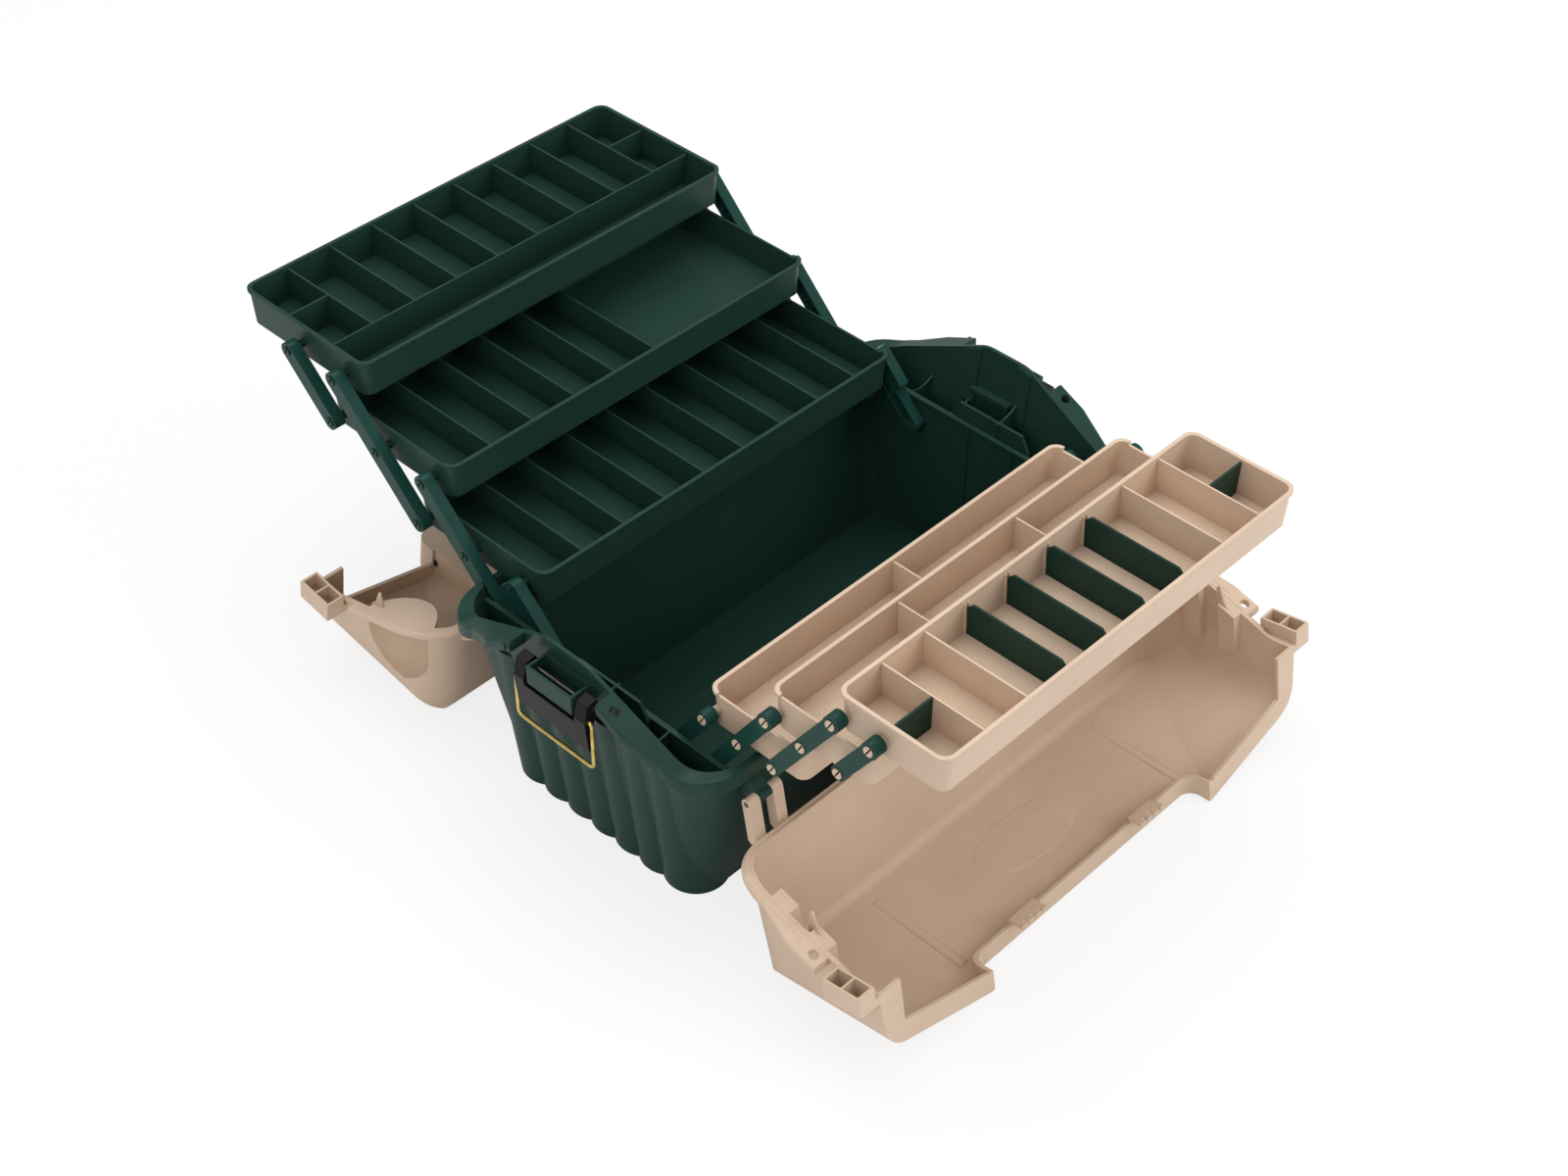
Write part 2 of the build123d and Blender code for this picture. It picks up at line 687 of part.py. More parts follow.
with BuildPart() as front_lid_closed:
    add(lid_outside.part)
    add(lid_flange.part)
    front_plan(0, Mode.INTERSECT)
    add(front_core.part, mode=Mode.SUBTRACT)
    beside_rim(LID_GAP, LID_FOOT_Z - 20, FAR, Mode.SUBTRACT)
    edge_wall_trim(-1, NOTCH_HALF + SHELL)
    slab(
        -NOTCH_HALF - 6,
        NOTCH_HALF + 6,
        -NOTCH_DEPTH - SHELL - 0.1,
        0,
        LID_FOOT_Z,
        RIDGE_Z - EDGE_WALL - SHELL,
        Mode.SUBTRACT,
    )
    lid_hinge_arms(-1)
    lid_keepers(-1)
    # Toothed catch tabs that slip into the tongue of the other lid
    for x in (-CATCH_X, CATCH_X):
        left, right = x - CATCH_WIDTH / 2, x + CATCH_WIDTH / 2
        root = -NOTCH_DEPTH - SHELL
        slab(left, right, root, CATCH_REACH_Y, tab_z, tab_z + CATCH_THICKNESS)
        slab(left, right, root, -NOTCH_DEPTH, tab_z, tab_z + CATCH_THICKNESS + 5)
        for tooth in range(CATCH_TEETH):
            start = left + tooth * (CATCH_WIDTH - TOOTH) / (CATCH_TEETH - 1)
            reach = (CATCH_REACH_Y - 0.5, CATCH_REACH_Y + CATCH_TOOTH_REACH)
            slab(start, start + TOOTH, *reach, tab_z, tab_z + CATCH_THICKNESS)
    for end in (-1, 1):
        spot = Location((end * EAR_HOLE_X, -EAR_HOLE_Y, END_RIM - 10), (slope, 0, 0))
        with Locations(spot):
            Cylinder(EAR_HOLE_RADIUS, 40, mode=Mode.SUBTRACT)


def end_domes(radius):
    """A round-topped upright column at both ends of the back lid."""
    height = DOME_STRAIGHT_TOP - LID_FOOT_Z
    for end in (-1, 1):
        with Locations((end * DOME_X, DOME_Y, LID_FOOT_Z)):
            Cylinder(radius, height, align=(Align.CENTER, Align.CENTER, Align.MIN))
        with Locations((end * DOME_X, DOME_Y, DOME_STRAIGHT_TOP)):
            Sphere(radius)


with BuildPart() as dome_walls:
    end_domes(DOME_RADIUS + SHELL)

with BuildPart() as dome_hollows:
    end_domes(DOME_RADIUS)
    beside_rim(LID_GAP + LID_FLANGE, HIGH, FAR, Mode.INTERSECT)

with BuildPart() as back_core:
    add(lid_inside.part)
    back_plan(SHELL, Mode.INTERSECT)
    slab(
        -RECESS_HALF - SHELL,
        RECESS_HALF + SHELL,
        RECESS_NEAR_Y - 6,
        RECESS_FAR_Y + SHELL,
        RECESS_FLOOR - SHELL,
        RIDGE_Z + 5,
        Mode.SUBTRACT,
    )
    add(dome_walls.part, mode=Mode.SUBTRACT)

with BuildPart() as back_lid_closed:
    add(lid_outside.part)
    add(lid_flange.part)
    back_plan(0, Mode.INTERSECT)
    add(back_core.part, mode=Mode.SUBTRACT)
    beside_rim(LID_GAP, LID_FOOT_Z - 20, FAR, Mode.SUBTRACT)
    edge_wall_trim(1, TONGUE_HALF)
    # The wall round the tongue ends level with the underside of the handle recess
    slab(
        -TONGUE_HALF - 0.1,
        TONGUE_HALF + 0.1,
        -TONGUE_REACH - 0.1,
        LID_SEAM + SHELL + 0.1,
        LID_FOOT_Z - 5,
        RECESS_FLOOR - SHELL,
        Mode.SUBTRACT,
    )
    slab(
        -RECESS_HALF,
        RECESS_HALF,
        RECESS_NEAR_Y,
        RECESS_FAR_Y,
        RECESS_FLOOR,
        RIDGE_Z + 5,
        Mode.SUBTRACT,
    )
    add(dome_hollows.part, mode=Mode.SUBTRACT)
    # Slots that come down over the catch tabs of the front lid
    for x in (-CATCH_X, CATCH_X):
        slab(
            x - CATCH_WIDTH / 2 - CATCH_PLAY,
            x + CATCH_WIDTH / 2 + CATCH_PLAY,
            -TONGUE_REACH - 0.1,
            CATCH_REACH_Y + CATCH_TOOTH_REACH + CATCH_PLAY,
            RECESS_FLOOR - SHELL - 1,
            tab_z + CATCH_THICKNESS + CATCH_PLAY,
            Mode.SUBTRACT,
        )
    bore = HANDLE_STUB_RADIUS + RUNNING_GAP
    rod(HANDLE_Y, HANDLE_Z, bore, -RECESS_HALF - SHELL - 1, RECESS_HALF + SHELL + 1, Mode.SUBTRACT)
    lid_hinge_arms(1)
    lid_keepers(1)

FRONT_HINGE = Axis((0, -HINGE_Y, HINGE_Z), (1, 0, 0))
BACK_HINGE = Axis((0, HINGE_Y, HINGE_Z), (1, 0, 0))

with BuildPart() as front_lid:
    add(front_lid_closed.part.rotate(FRONT_HINGE, LID_OPENING))

with BuildPart() as back_lid:
    add(back_lid_closed.part.rotate(BACK_HINGE, -LID_OPENING))

# The handle is a bent bar with a thicker grip, on stubs in the recess walls
with BuildPart() as handle_closed:
    with BuildLine(Plane.XY.offset(HANDLE_Z)) as handle_line:
        FilletPolyline(
            (-HANDLE_HALF, HANDLE_Y),
            (-HANDLE_HALF, HANDLE_Y + HANDLE_REACH),
            (HANDLE_HALF, HANDLE_Y + HANDLE_REACH),
            (HANDLE_HALF, HANDLE_Y),
            radius=HANDLE_BEND,
        )
    with BuildSketch(Plane(origin=handle_line.line @ 0, z_dir=handle_line.line % 0)):
        Circle(HANDLE_BAR_RADIUS)
    sweep(path=handle_line.line)
    grip_y = HANDLE_Y + HANDLE_REACH
    rod(grip_y, HANDLE_Z, HANDLE_GRIP_RADIUS, -HANDLE_GRIP_HALF, HANDLE_GRIP_HALF)
    round_edges = handle_closed.edges().filter_by(GeomType.CIRCLE)
    fillet([e for e in round_edges if abs(e.radius - HANDLE_GRIP_RADIUS) < 0.01], 2)
    hub = HANDLE_BAR_RADIUS + 1
    for end in (-1, 1):
        rod(HANDLE_Y, HANDLE_Z, hub, end * (HANDLE_HALF - 6), end * (HANDLE_HALF + 6))
        rod(HANDLE_Y, HANDLE_Z, HANDLE_STUB_RADIUS, end * HANDLE_HALF, end * (RECESS_HALF + SHELL))

with BuildPart() as carry_handle:
    add(handle_closed.part.rotate(BACK_HINGE, -LID_OPENING))


def hinge_pins(side):
    """Two steel pins, each through a lug of the tub and the two lid knuckles beside it."""
    reach = LUG_WIDTH / 2 + KNUCKLE_GAP + KNUCKLE_WIDTH
    for x in (-HINGE_X, HINGE_X):
        rod(side * HINGE_Y, HINGE_Z, HINGE_PIN_RADIUS, x - reach, x + reach)


with BuildPart() as front_hinge_pins:
    hinge_pins(-1)

with BuildPart() as back_hinge_pins:
    hinge_pins(1)


def tray_shell(y, rim, width, height, stepped_ends):
    """A drafted tray with a lip round its rim."""
    draft = height * math.tan(math.radians(TRAY_DRAFT))
    inset = 2 * (TRAY_LIP + draft)
    outer = rectangle_at(rim - height, TRAY_LENGTH - inset, width - inset, TRAY_CORNER - draft, y)
    extrude(outer, amount=height, taper=-TRAY_DRAFT)
    lip = rectangle_at(rim - TRAY_LIP_DEPTH, TRAY_LENGTH, width, TRAY_CORNER, y)
    extrude(lip, amount=TRAY_LIP_DEPTH)
    depth = height - TRAY_WALL
    inner = 2 * (TRAY_LIP + TRAY_WALL + depth * math.tan(math.radians(TRAY_DRAFT)))
    hollow = rectangle_at(rim - depth, TRAY_LENGTH - inner, width - inner, TRAY_CORNER - inner / 2 + 1, y)
    extrude(hollow, amount=depth, taper=-TRAY_DRAFT, mode=Mode.SUBTRACT)
    if stepped_ends:
        half = width / 2 - TRAY_CORNER
        for end in (-1, 1):
            outer = end * (TRAY_LENGTH / 2 + 1)
            inner = outer - end * END_STEP_LENGTH
            slab(outer, inner, y - half, y + half, rim - END_STEP, rim + 1, Mode.SUBTRACT)


def tray_half(width, below_rim, inset):
    """Half the width of a tray, measured below its rim and in from its outer face."""
    return width / 2 - TRAY_LIP - inset - below_rim * math.tan(math.radians(TRAY_DRAFT))


def cross_dividers(places, y, rim, width, height, near=None, far=None):
    """Fixed walls across a tray, tied into its long walls or ending at a given line."""
    low = tray_half(width, height, TRAY_WALL / 2)
    high = tray_half(width, DIVIDER_DROP, TRAY_WALL / 2)
    outline = (
        (y - low if near is None else near, rim - height + 1),
        (y + low if far is None else far, rim - height + 1),
        (y + high if far is None else far, rim - DIVIDER_DROP),
        (y - high if near is None else near, rim - DIVIDER_DROP),
    )
    for x in places:
        wall_profile(outline, x - DIVIDER / 2, x + DIVIDER / 2)


def long_divider(y, x0, x1, rim, height):
    """A fixed wall along a tray."""
    slab(x0, x1, y - DIVIDER / 2, y + DIVIDER / 2, rim - height + 1, rim - DIVIDER_DROP)


def end_wall_reach(below_rim):
    """Distance from the middle of the box to the outer face of a tray's end wall."""
    return TRAY_LENGTH / 2 - TRAY_LIP - below_rim * math.tan(math.radians(TRAY_DRAFT))


def pivot_posts(pivots, z, below_rim, shouldered):
    """Split snap posts on both end walls, some standing on a shoulder boss."""
    root = end_wall_reach(below_rim) - 1
    for end in (-1, 1):
        for place, y in enumerate(pivots):
            if place in shouldered:
                rod(y, z, BOSS_RADIUS, end * root, end * (PLATE_INNER - 0.3))
            rod(y, z, POST_RADIUS, end * root, end * POST_END)
            rod(y, z, HEAD_RADIUS, end * (LINK_OUTER + 0.3), end * POST_END)
            slot = Location((end * (POST_END - 1.5), y, z), (28, 0, 0))
            with Locations(slot):
                Box(6, POST_SLOT, 2 * HEAD_RADIUS + 1, mode=Mode.SUBTRACT)


def front_pivot(level):
    """Place of the first pivot of a tan tray: one more link rise for each level."""
    y, z = FRONT_BASE_PIVOT
    back = (level - 1) * FRONT_PIVOT_STEP
    return y - back + level * FRONT_LINK_RISE[0], z + level * FRONT_LINK_RISE[1]


def back_pivot(level):
    """Place of the first pivot of a green tray."""
    y, z = BACK_BASE_PIVOT
    out = (level - 1) * BACK_PIVOT_STEP
    return y + out + level * BACK_LINK_RISE[0], z + level * BACK_LINK_RISE[1]


def front_tray(level, width, pivot_count):
    """Shell and posts of a tan tray, giving back its middle line and rim height."""
    pivot_y, pivot_z = front_pivot(level)
    rim = pivot_z + FRONT_RIM_ABOVE_PIVOT
    y = pivot_y + FRONT_INNER_EDGE - width / 2
    tray_shell(y, rim, width, FRONT_TRAY_HEIGHT, pivot_count == 3)
    pivots = [pivot_y - FRONT_PIVOT_STEP * place for place in range(pivot_count)]
    shouldered = (1, 2) if pivot_count == 3 else ()
    pivot_posts(pivots, pivot_z, FRONT_RIM_ABOVE_PIVOT, shouldered)
    return y, rim


def back_tray(level, width, inner_edge, pivot_count):
    """Shell and posts of a green tray, giving back its middle line and rim height."""
    pivot_y, pivot_z = back_pivot(level)
    rim = pivot_z + BACK_RIM_ABOVE_PIVOT
    y = pivot_y - inner_edge + width / 2
    tray_shell(y, rim, width, BACK_TRAY_HEIGHT, pivot_count == 3)
    pivots = [pivot_y + BACK_PIVOT_STEP * place for place in range(pivot_count)]
    pivot_posts(pivots, pivot_z, BACK_RIM_ABOVE_PIVOT, ())
    return y, rim


def end_nubs(y, rim):
    """A short upright rib in the middle of both end walls, inside the tray."""
    drop = FRONT_TRAY_HEIGHT / 2
    inner = end_wall_reach(drop) - TRAY_WALL
    for end in (-1, 1):
        across = (end * (inner - END_NUB), end * (inner + TRAY_WALL / 2))
        slab(*across, y - END_NUB / 2, y + END_NUB / 2, rim - drop, rim - END_STEP - 2)


TRAY_GRID = [CELL * (place + 0.5) for place in range(-4, 4)]
OUTER_GRID = [x for x in TRAY_GRID if abs(x) > 2 * CELL]
INNER_GRID = [x for x in TRAY_GRID if abs(x) < 2 * CELL]

with BuildPart() as front_low_tray:
    middle, rim = front_tray(1, FRONT_TRAY_WIDTH, 3)
    cross_dividers([0], middle, rim, FRONT_TRAY_WIDTH, FRONT_TRAY_HEIGHT)
    end_nubs(middle, rim)

with BuildPart() as front_mid_tray:
    middle, rim = front_tray(2, FRONT_TRAY_WIDTH, 3)
    cross_dividers([TRAY_GRID[2], TRAY_GRID[5]], middle, rim, FRONT_TRAY_WIDTH, FRONT_TRAY_HEIGHT)
    end_nubs(middle, rim)

with BuildPart() as front_top_tray:
    middle, rim = front_tray(3, FRONT_TOP_WIDTH, 2)
    cross_dividers(OUTER_GRID, middle, rim, FRONT_TOP_WIDTH, FRONT_TRAY_HEIGHT)
    # Pairs of upright ribs on both long walls hold the loose dividers
    for x in INNER_GRID:
        for way in (-1, 1):
            rib_x = x + way * (LOOSE_DIVIDER / 2 + RIB_GAP + RIB / 2)
            for side in (-1, 1):
                low = tray_half(FRONT_TOP_WIDTH, FRONT_TRAY_HEIGHT - TRAY_WALL, TRAY_WALL)
                high = tray_half(FRONT_TOP_WIDTH, RIB_DROP, TRAY_WALL)
                rib = (
                    (middle + side * (low + 1), rim - FRONT_TRAY_HEIGHT + 1),
                    (middle + side * (low - RIB_REACH), rim - FRONT_TRAY_HEIGHT + 1),
                    (middle + side * (high - RIB_REACH), rim - RIB_DROP),
                    (middle + side * (high + 1), rim - RIB_DROP),
                )
                wall_profile(rib, rib_x - RIB / 2, rib_x + RIB / 2)

FRONT_TOP_MIDDLE, FRONT_TOP_RIM = middle, rim


def loose_divider(x):
    """A lift-out plate across the top tan tray, with raised lines in its upper part."""
    floor = FRONT_TOP_RIM - FRONT_TRAY_HEIGHT + TRAY_WALL + LOOSE_DIVIDER_PLAY / 2
    top = FRONT_TOP_RIM - DIVIDER_DROP
    shoulder = top - LOOSE_DIVIDER_SHOULDER
    low = tray_half(FRONT_TOP_WIDTH, FRONT_TRAY_HEIGHT - TRAY_WALL, TRAY_WALL) - LOOSE_DIVIDER_PLAY
    high = tray_half(FRONT_TOP_WIDTH, FRONT_TOP_RIM - shoulder, TRAY_WALL) - LOOSE_DIVIDER_PLAY
    crown = high - LOOSE_DIVIDER_SHOULDER
    outline = (
        (FRONT_TOP_MIDDLE - low, floor),
        (FRONT_TOP_MIDDLE + low, floor),
        (FRONT_TOP_MIDDLE + high, shoulder),
        (FRONT_TOP_MIDDLE + crown, top),
        (FRONT_TOP_MIDDLE - crown, top),
        (FRONT_TOP_MIDDLE - high, shoulder),
    )
    wall_profile(outline, x - LOOSE_DIVIDER / 2, x + LOOSE_DIVIDER / 2)
    reach = LOOSE_DIVIDER / 2 + LINE_RELIEF
    for line in range(DIVIDER_LINES):
        z = top - LINE_PITCH * (line + 1)
        start = FRONT_TOP_MIDDLE - LINE_LENGTH / 2 + LINE_SHIFT * line
        slab(x - reach, x + reach, start, start + LINE_LENGTH - LINE_SHIFT * line, z, z + LINE_HEIGHT)


def short_divider(end):
    """A lift-out plate along the top tan tray that halves an end cell."""
    floor = FRONT_TOP_RIM - FRONT_TRAY_HEIGHT + TRAY_WALL + LOOSE_DIVIDER_PLAY / 2
    top = FRONT_TOP_RIM - DIVIDER_DROP
    inner = OUTER_GRID[-1] + DIVIDER / 2 + SHORT_DIVIDER_GAP
    low = end_wall_reach(FRONT_TRAY_HEIGHT - TRAY_WALL) - TRAY_WALL - SHORT_DIVIDER_GAP
    high = end_wall_reach(DIVIDER_DROP) - TRAY_WALL - SHORT_DIVIDER_GAP
    outline = ((inner, floor), (low, floor), (high, top), (inner, top))
    with BuildSketch(Plane.XZ.offset(-FRONT_TOP_MIDDLE - LOOSE_DIVIDER / 2)) as profile:
        Polygon(*((end * x, z) for x, z in outline), align=None)
    extrude(profile.sketch, amount=LOOSE_DIVIDER)


with BuildPart() as long_divider_1:
    loose_divider(INNER_GRID[0])

with BuildPart() as long_divider_2:
    loose_divider(INNER_GRID[1])

with BuildPart() as long_divider_3:
    loose_divider(INNER_GRID[2])

with BuildPart() as long_divider_4:
    loose_divider(INNER_GRID[3])

with BuildPart() as near_short_divider:
    short_divider(-1)

with BuildPart() as far_short_divider:
    short_divider(1)

with BuildPart() as back_low_tray:
    middle, rim = back_tray(1, BACK_TRAY_WIDTH, BACK_INNER_EDGE, 3)
    cross_dividers(TRAY_GRID, middle, rim, BACK_TRAY_WIDTH, BACK_TRAY_HEIGHT)

with BuildPart() as back_mid_tray:
    middle, rim = back_tray(2, BACK_TRAY_WIDTH, BACK_INNER_EDGE, 3)
    cross_dividers(TRAY_GRID[:5], middle, rim, BACK_TRAY_WIDTH, BACK_TRAY_HEIGHT)

with BuildPart() as back_top_tray:
    middle, rim = back_tray(3, BACK_TOP_WIDTH, BACK_TOP_INNER_EDGE, 2)
    trough = middle - BACK_TOP_WIDTH / 2 + TROUGH_WIDTH
    half_length = end_wall_reach(BACK_TRAY_HEIGHT) - TRAY_WALL / 2
    long_divider(trough, -half_length, half_length, rim, BACK_TRAY_HEIGHT)
    cross_dividers(TRAY_GRID, middle, rim, BACK_TOP_WIDTH, BACK_TRAY_HEIGHT, near=trough)
    row_middle = (trough + middle + BACK_TOP_WIDTH / 2) / 2
    for end in (-1, 1):
        long_divider(row_middle, end * TRAY_GRID[-1], end * half_length, rim, BACK_TRAY_HEIGHT)


def link_wing(end, start, rise, width, angle):
    """The wider upper half of the lowest green link, on opposite sides at the two ends."""
    length = math.hypot(*rise) / 2 + width / 2
    depth = width / 2 + LINK_WING
    along = math.hypot(*rise) / 2 + length / 2
    with BuildSketch(Plane.YZ.offset(end * CHANNEL_INNER)) as profile:
        with Locations(Location((*start, 0), angle)):
            with Locations((along, end * depth / 2)):
                RectangleRounded(length, depth, 2)
    extrude(profile.sketch, amount=end * (LINK_OUTER - CHANNEL_INNER))


def link_bar(end, start, rise, stages, width, inner, hollow, sleeve, wing=False):
    """One link: a racetrack bar over its pivots, as a plate or as a channel open towards the tray."""
    holes = [(start[0] + rise[0] * n, start[1] + rise[1] * n) for n in range(stages + 1)]
    span = math.hypot(*rise) * stages
    centre = (start[0] + rise[0] * stages / 2, start[1] + rise[1] * stages / 2)
    angle = math.degrees(math.atan2(rise[1], rise[0]))
    with BuildSketch(Plane.YZ.offset(end * LINK_OUTER)) as profile:
        with Locations(centre):
            SlotCenterToCenter(span, width, rotation=angle)
    extrude(profile.sketch, amount=-end * (LINK_OUTER - inner))
    if hollow:
        with BuildSketch(Plane.YZ.offset(end * (LINK_OUTER - CHANNEL_WEB))) as profile:
            with Locations(centre):
                SlotCenterToCenter(span, width - 2 * CHANNEL_WALL, rotation=angle)
        extrude(profile.sketch, amount=-end * (LINK_OUTER - inner), mode=Mode.SUBTRACT)
        for y, z in holes:
            rod(y, z, width / 2 - CHANNEL_WALL / 2, end * inner, end * (LINK_OUTER - 1))
        # A cross rib half way along each stage
        for n in range(stages):
            y, z = (start[0] + rise[0] * (n + 0.5), start[1] + rise[1] * (n + 0.5))
            rib = Location((end * (LINK_OUTER + inner) / 2, y, z), (angle, 0, 0))
            with Locations(rib):
                Box(LINK_OUTER - inner, CHANNEL_WALL, width - 1)
    if wing:
        link_wing(end, start, rise, width, angle)
    if sleeve:
        y, z = holes[-1]
        rod(y, z, SLEEVE_RADIUS, end * (CHANNEL_INNER - 0.5), end * LINK_OUTER)
    for y, z in holes:
        rod(y, z, HOLE_RADIUS, end * (CHANNEL_INNER - 2), end * (LINK_OUTER + 1), Mode.SUBTRACT)


def front_link(end, order):
    """Link 1 and 2 start on the tub, link 3 on the low tray, link 4 on the mid tray."""
    y, z = FRONT_BASE_PIVOT
    starts = (0, 0, 1, 2)
    y += -FRONT_PIVOT_STEP * (order - 1) + FRONT_LINK_RISE[0] * starts[order - 1]
    z += FRONT_LINK_RISE[1] * starts[order - 1]
    stages = (1, 2, 2, 1)[order - 1]
    hollow = order == 1
    inner = CHANNEL_INNER if hollow else PLATE_INNER
    link_bar(end, (y, z), FRONT_LINK_RISE, stages, FRONT_LINK_WIDTH, inner, hollow, not hollow)


def back_link(end, order):
    """The green links: deep channels, set out like the front ones."""
    y, z = BACK_BASE_PIVOT
    starts = (0, 0, 1, 2)
    y += BACK_PIVOT_STEP * (order - 1) + BACK_LINK_RISE[0] * starts[order - 1]
    z += BACK_LINK_RISE[1] * starts[order - 1]
    stages = (1, 2, 2, 1)[order - 1]
    wing = order == 1
    link_bar(end, (y, z), BACK_LINK_RISE, stages, BACK_LINK_WIDTH, CHANNEL_INNER, True, False, wing)


LINK_NAMES = ("first", "second", "third", "fourth")
links = {}
for end, end_name in ((-1, "near"), (1, "far")):
    for order, order_name in enumerate(LINK_NAMES, 1):
        with BuildPart() as front_arm:
            front_link(end, order)
        links[f"front_{order_name}_link_{end_name}"] = front_arm
        with BuildPart() as back_arm:
            back_link(end, order)
        links[f"back_{order_name}_link_{end_name}"] = back_arm


def latch_lever(end):
    """The black lever: a finger plate with two ears that hold the pin and the bail ends."""
    with BuildSketch(Plane.XZ.offset(-LEVER_HALF)) as profile:
        with BuildLine():
            Polyline(
                (end * LEVER_INNER, LEVER_BOTTOM),
                (end * LEVER_OUTER, LEVER_BOTTOM),
                (end * (LEVER_OUTER + 2), LEVER_NOTCH - 6),
                (end * (BAIL_PIVOT_X + 4.5), BAIL_PIVOT_Z + 1),
                (end * (LATCH_PIN_X + 6), LATCH_PIN_Z + 5.5),
                (end * (LATCH_PIN_X - 3), LATCH_PIN_Z + 7.5),
                (end * (LATCH_PIN_X - 6), LATCH_PIN_Z + 1),
                (end * (LATCH_PIN_X - 2.5), LATCH_PIN_Z - 7),
                (end * LEVER_INNER, LEVER_NOTCH - 4),
                close=True,
            )
        make_face()
    extrude(profile.sketch, amount=2 * LEVER_HALF)
    # The middle is cut away above the finger plate, clear of the keeper box
    gap = LEVER_HALF - LEVER_EAR
    slab(end * (LATCH_PIN_X - 10), end * FAR, -gap, gap, LEVER_NOTCH, LATCH_PIN_Z + 12, Mode.SUBTRACT)
    with BuildSketch(Plane.XZ.offset(-LEVER_HALF - 1)) as profile:
        with Locations((end * LATCH_PIN_X, LATCH_PIN_Z)):
            Circle(LATCH_PIN_RADIUS + RUNNING_GAP)
    extrude(profile.sketch, amount=2 * LEVER_HALF + 2, mode=Mode.SUBTRACT)
    for side in (-1, 1):
        with BuildSketch(Plane.XZ.offset(-side * (LEVER_HALF + 1))) as profile:
            with Locations((end * BAIL_PIVOT_X, BAIL_PIVOT_Z)):
                Circle(BAIL_WIRE + RUNNING_GAP)
        extrude(profile.sketch, amount=side * BAIL_EAR, mode=Mode.SUBTRACT)


def latch_pin(end):
    """The steel pin through the keeper box and both ears of the lever."""
    with BuildSketch(Plane.XZ.offset(-LEVER_HALF)) as profile:
        with Locations((end * LATCH_PIN_X, LATCH_PIN_Z)):
            Circle(LATCH_PIN_RADIUS)
    extrude(profile.sketch, amount=2 * LEVER_HALF)


def latch_bail(end):
    """The wire bail: a rectangular loop whose ends turn in to the lever."""
    with BuildLine(Plane.YZ.offset(end * BAIL_PIVOT_X)) as wire:
        FilletPolyline(
            (-LEVER_HALF + BAIL_SINK, BAIL_PIVOT_Z),
            (-BAIL_HALF, BAIL_PIVOT_Z),
            (-BAIL_HALF, BAIL_PIVOT_Z - BAIL_REACH),
            (BAIL_HALF, BAIL_PIVOT_Z - BAIL_REACH),
            (BAIL_HALF, BAIL_PIVOT_Z),
            (LEVER_HALF - BAIL_SINK, BAIL_PIVOT_Z),
            radius=(2.4, 5, 5, 2.4),
        )
    with BuildSketch(Plane(origin=wire.line @ 0, z_dir=wire.line % 0)) as profile:
        Circle(BAIL_WIRE)
    sweep(profile.sketch, path=wire.line)


with BuildPart() as near_latch:
    latch_lever(-1)

with BuildPart() as far_latch:
    latch_lever(1)

with BuildPart() as near_latch_pin:
    latch_pin(-1)

with BuildPart() as far_latch_pin:
    latch_pin(1)

with BuildPart() as near_bail:
    latch_bail(-1)

with BuildPart() as far_bail:
    latch_bail(1)

pieces = {
    "base_tub": base_tub,
    "front_lid": front_lid,
    "back_lid": back_lid,
    "carry_handle": carry_handle,
    "front_hinge_pins": front_hinge_pins,
    "back_hinge_pins": back_hinge_pins,
    "front_low_tray": front_low_tray,
    "front_mid_tray": front_mid_tray,
    "front_top_tray": front_top_tray,
    "back_low_tray": back_low_tray,
    "back_mid_tray": back_mid_tray,
    "back_top_tray": back_top_tray,
    "long_divider_1": long_divider_1,
    "long_divider_2": long_divider_2,
    "long_divider_3": long_divider_3,
    "long_divider_4": long_divider_4,
    "near_short_divider": near_short_divider,
    "far_short_divider": far_short_divider,
    "near_latch": near_latch,
    "far_latch": far_latch,
    "near_latch_pin": near_latch_pin,
    "far_latch_pin": far_latch_pin,
    "near_bail": near_bail,
    "far_bail": far_bail,
    **links,
}
for name, piece in pieces.items():
    piece.part.label = name
    export_step(piece.part, f"parts/{name}.step")
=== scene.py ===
"""Looks of a hip-roof tackle box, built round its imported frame. Metres, in the frame's own axes."""

import math

import bmesh
import bpy
from bpy.props import FloatProperty, FloatVectorProperty, PointerProperty
from mathutils import Matrix, Vector


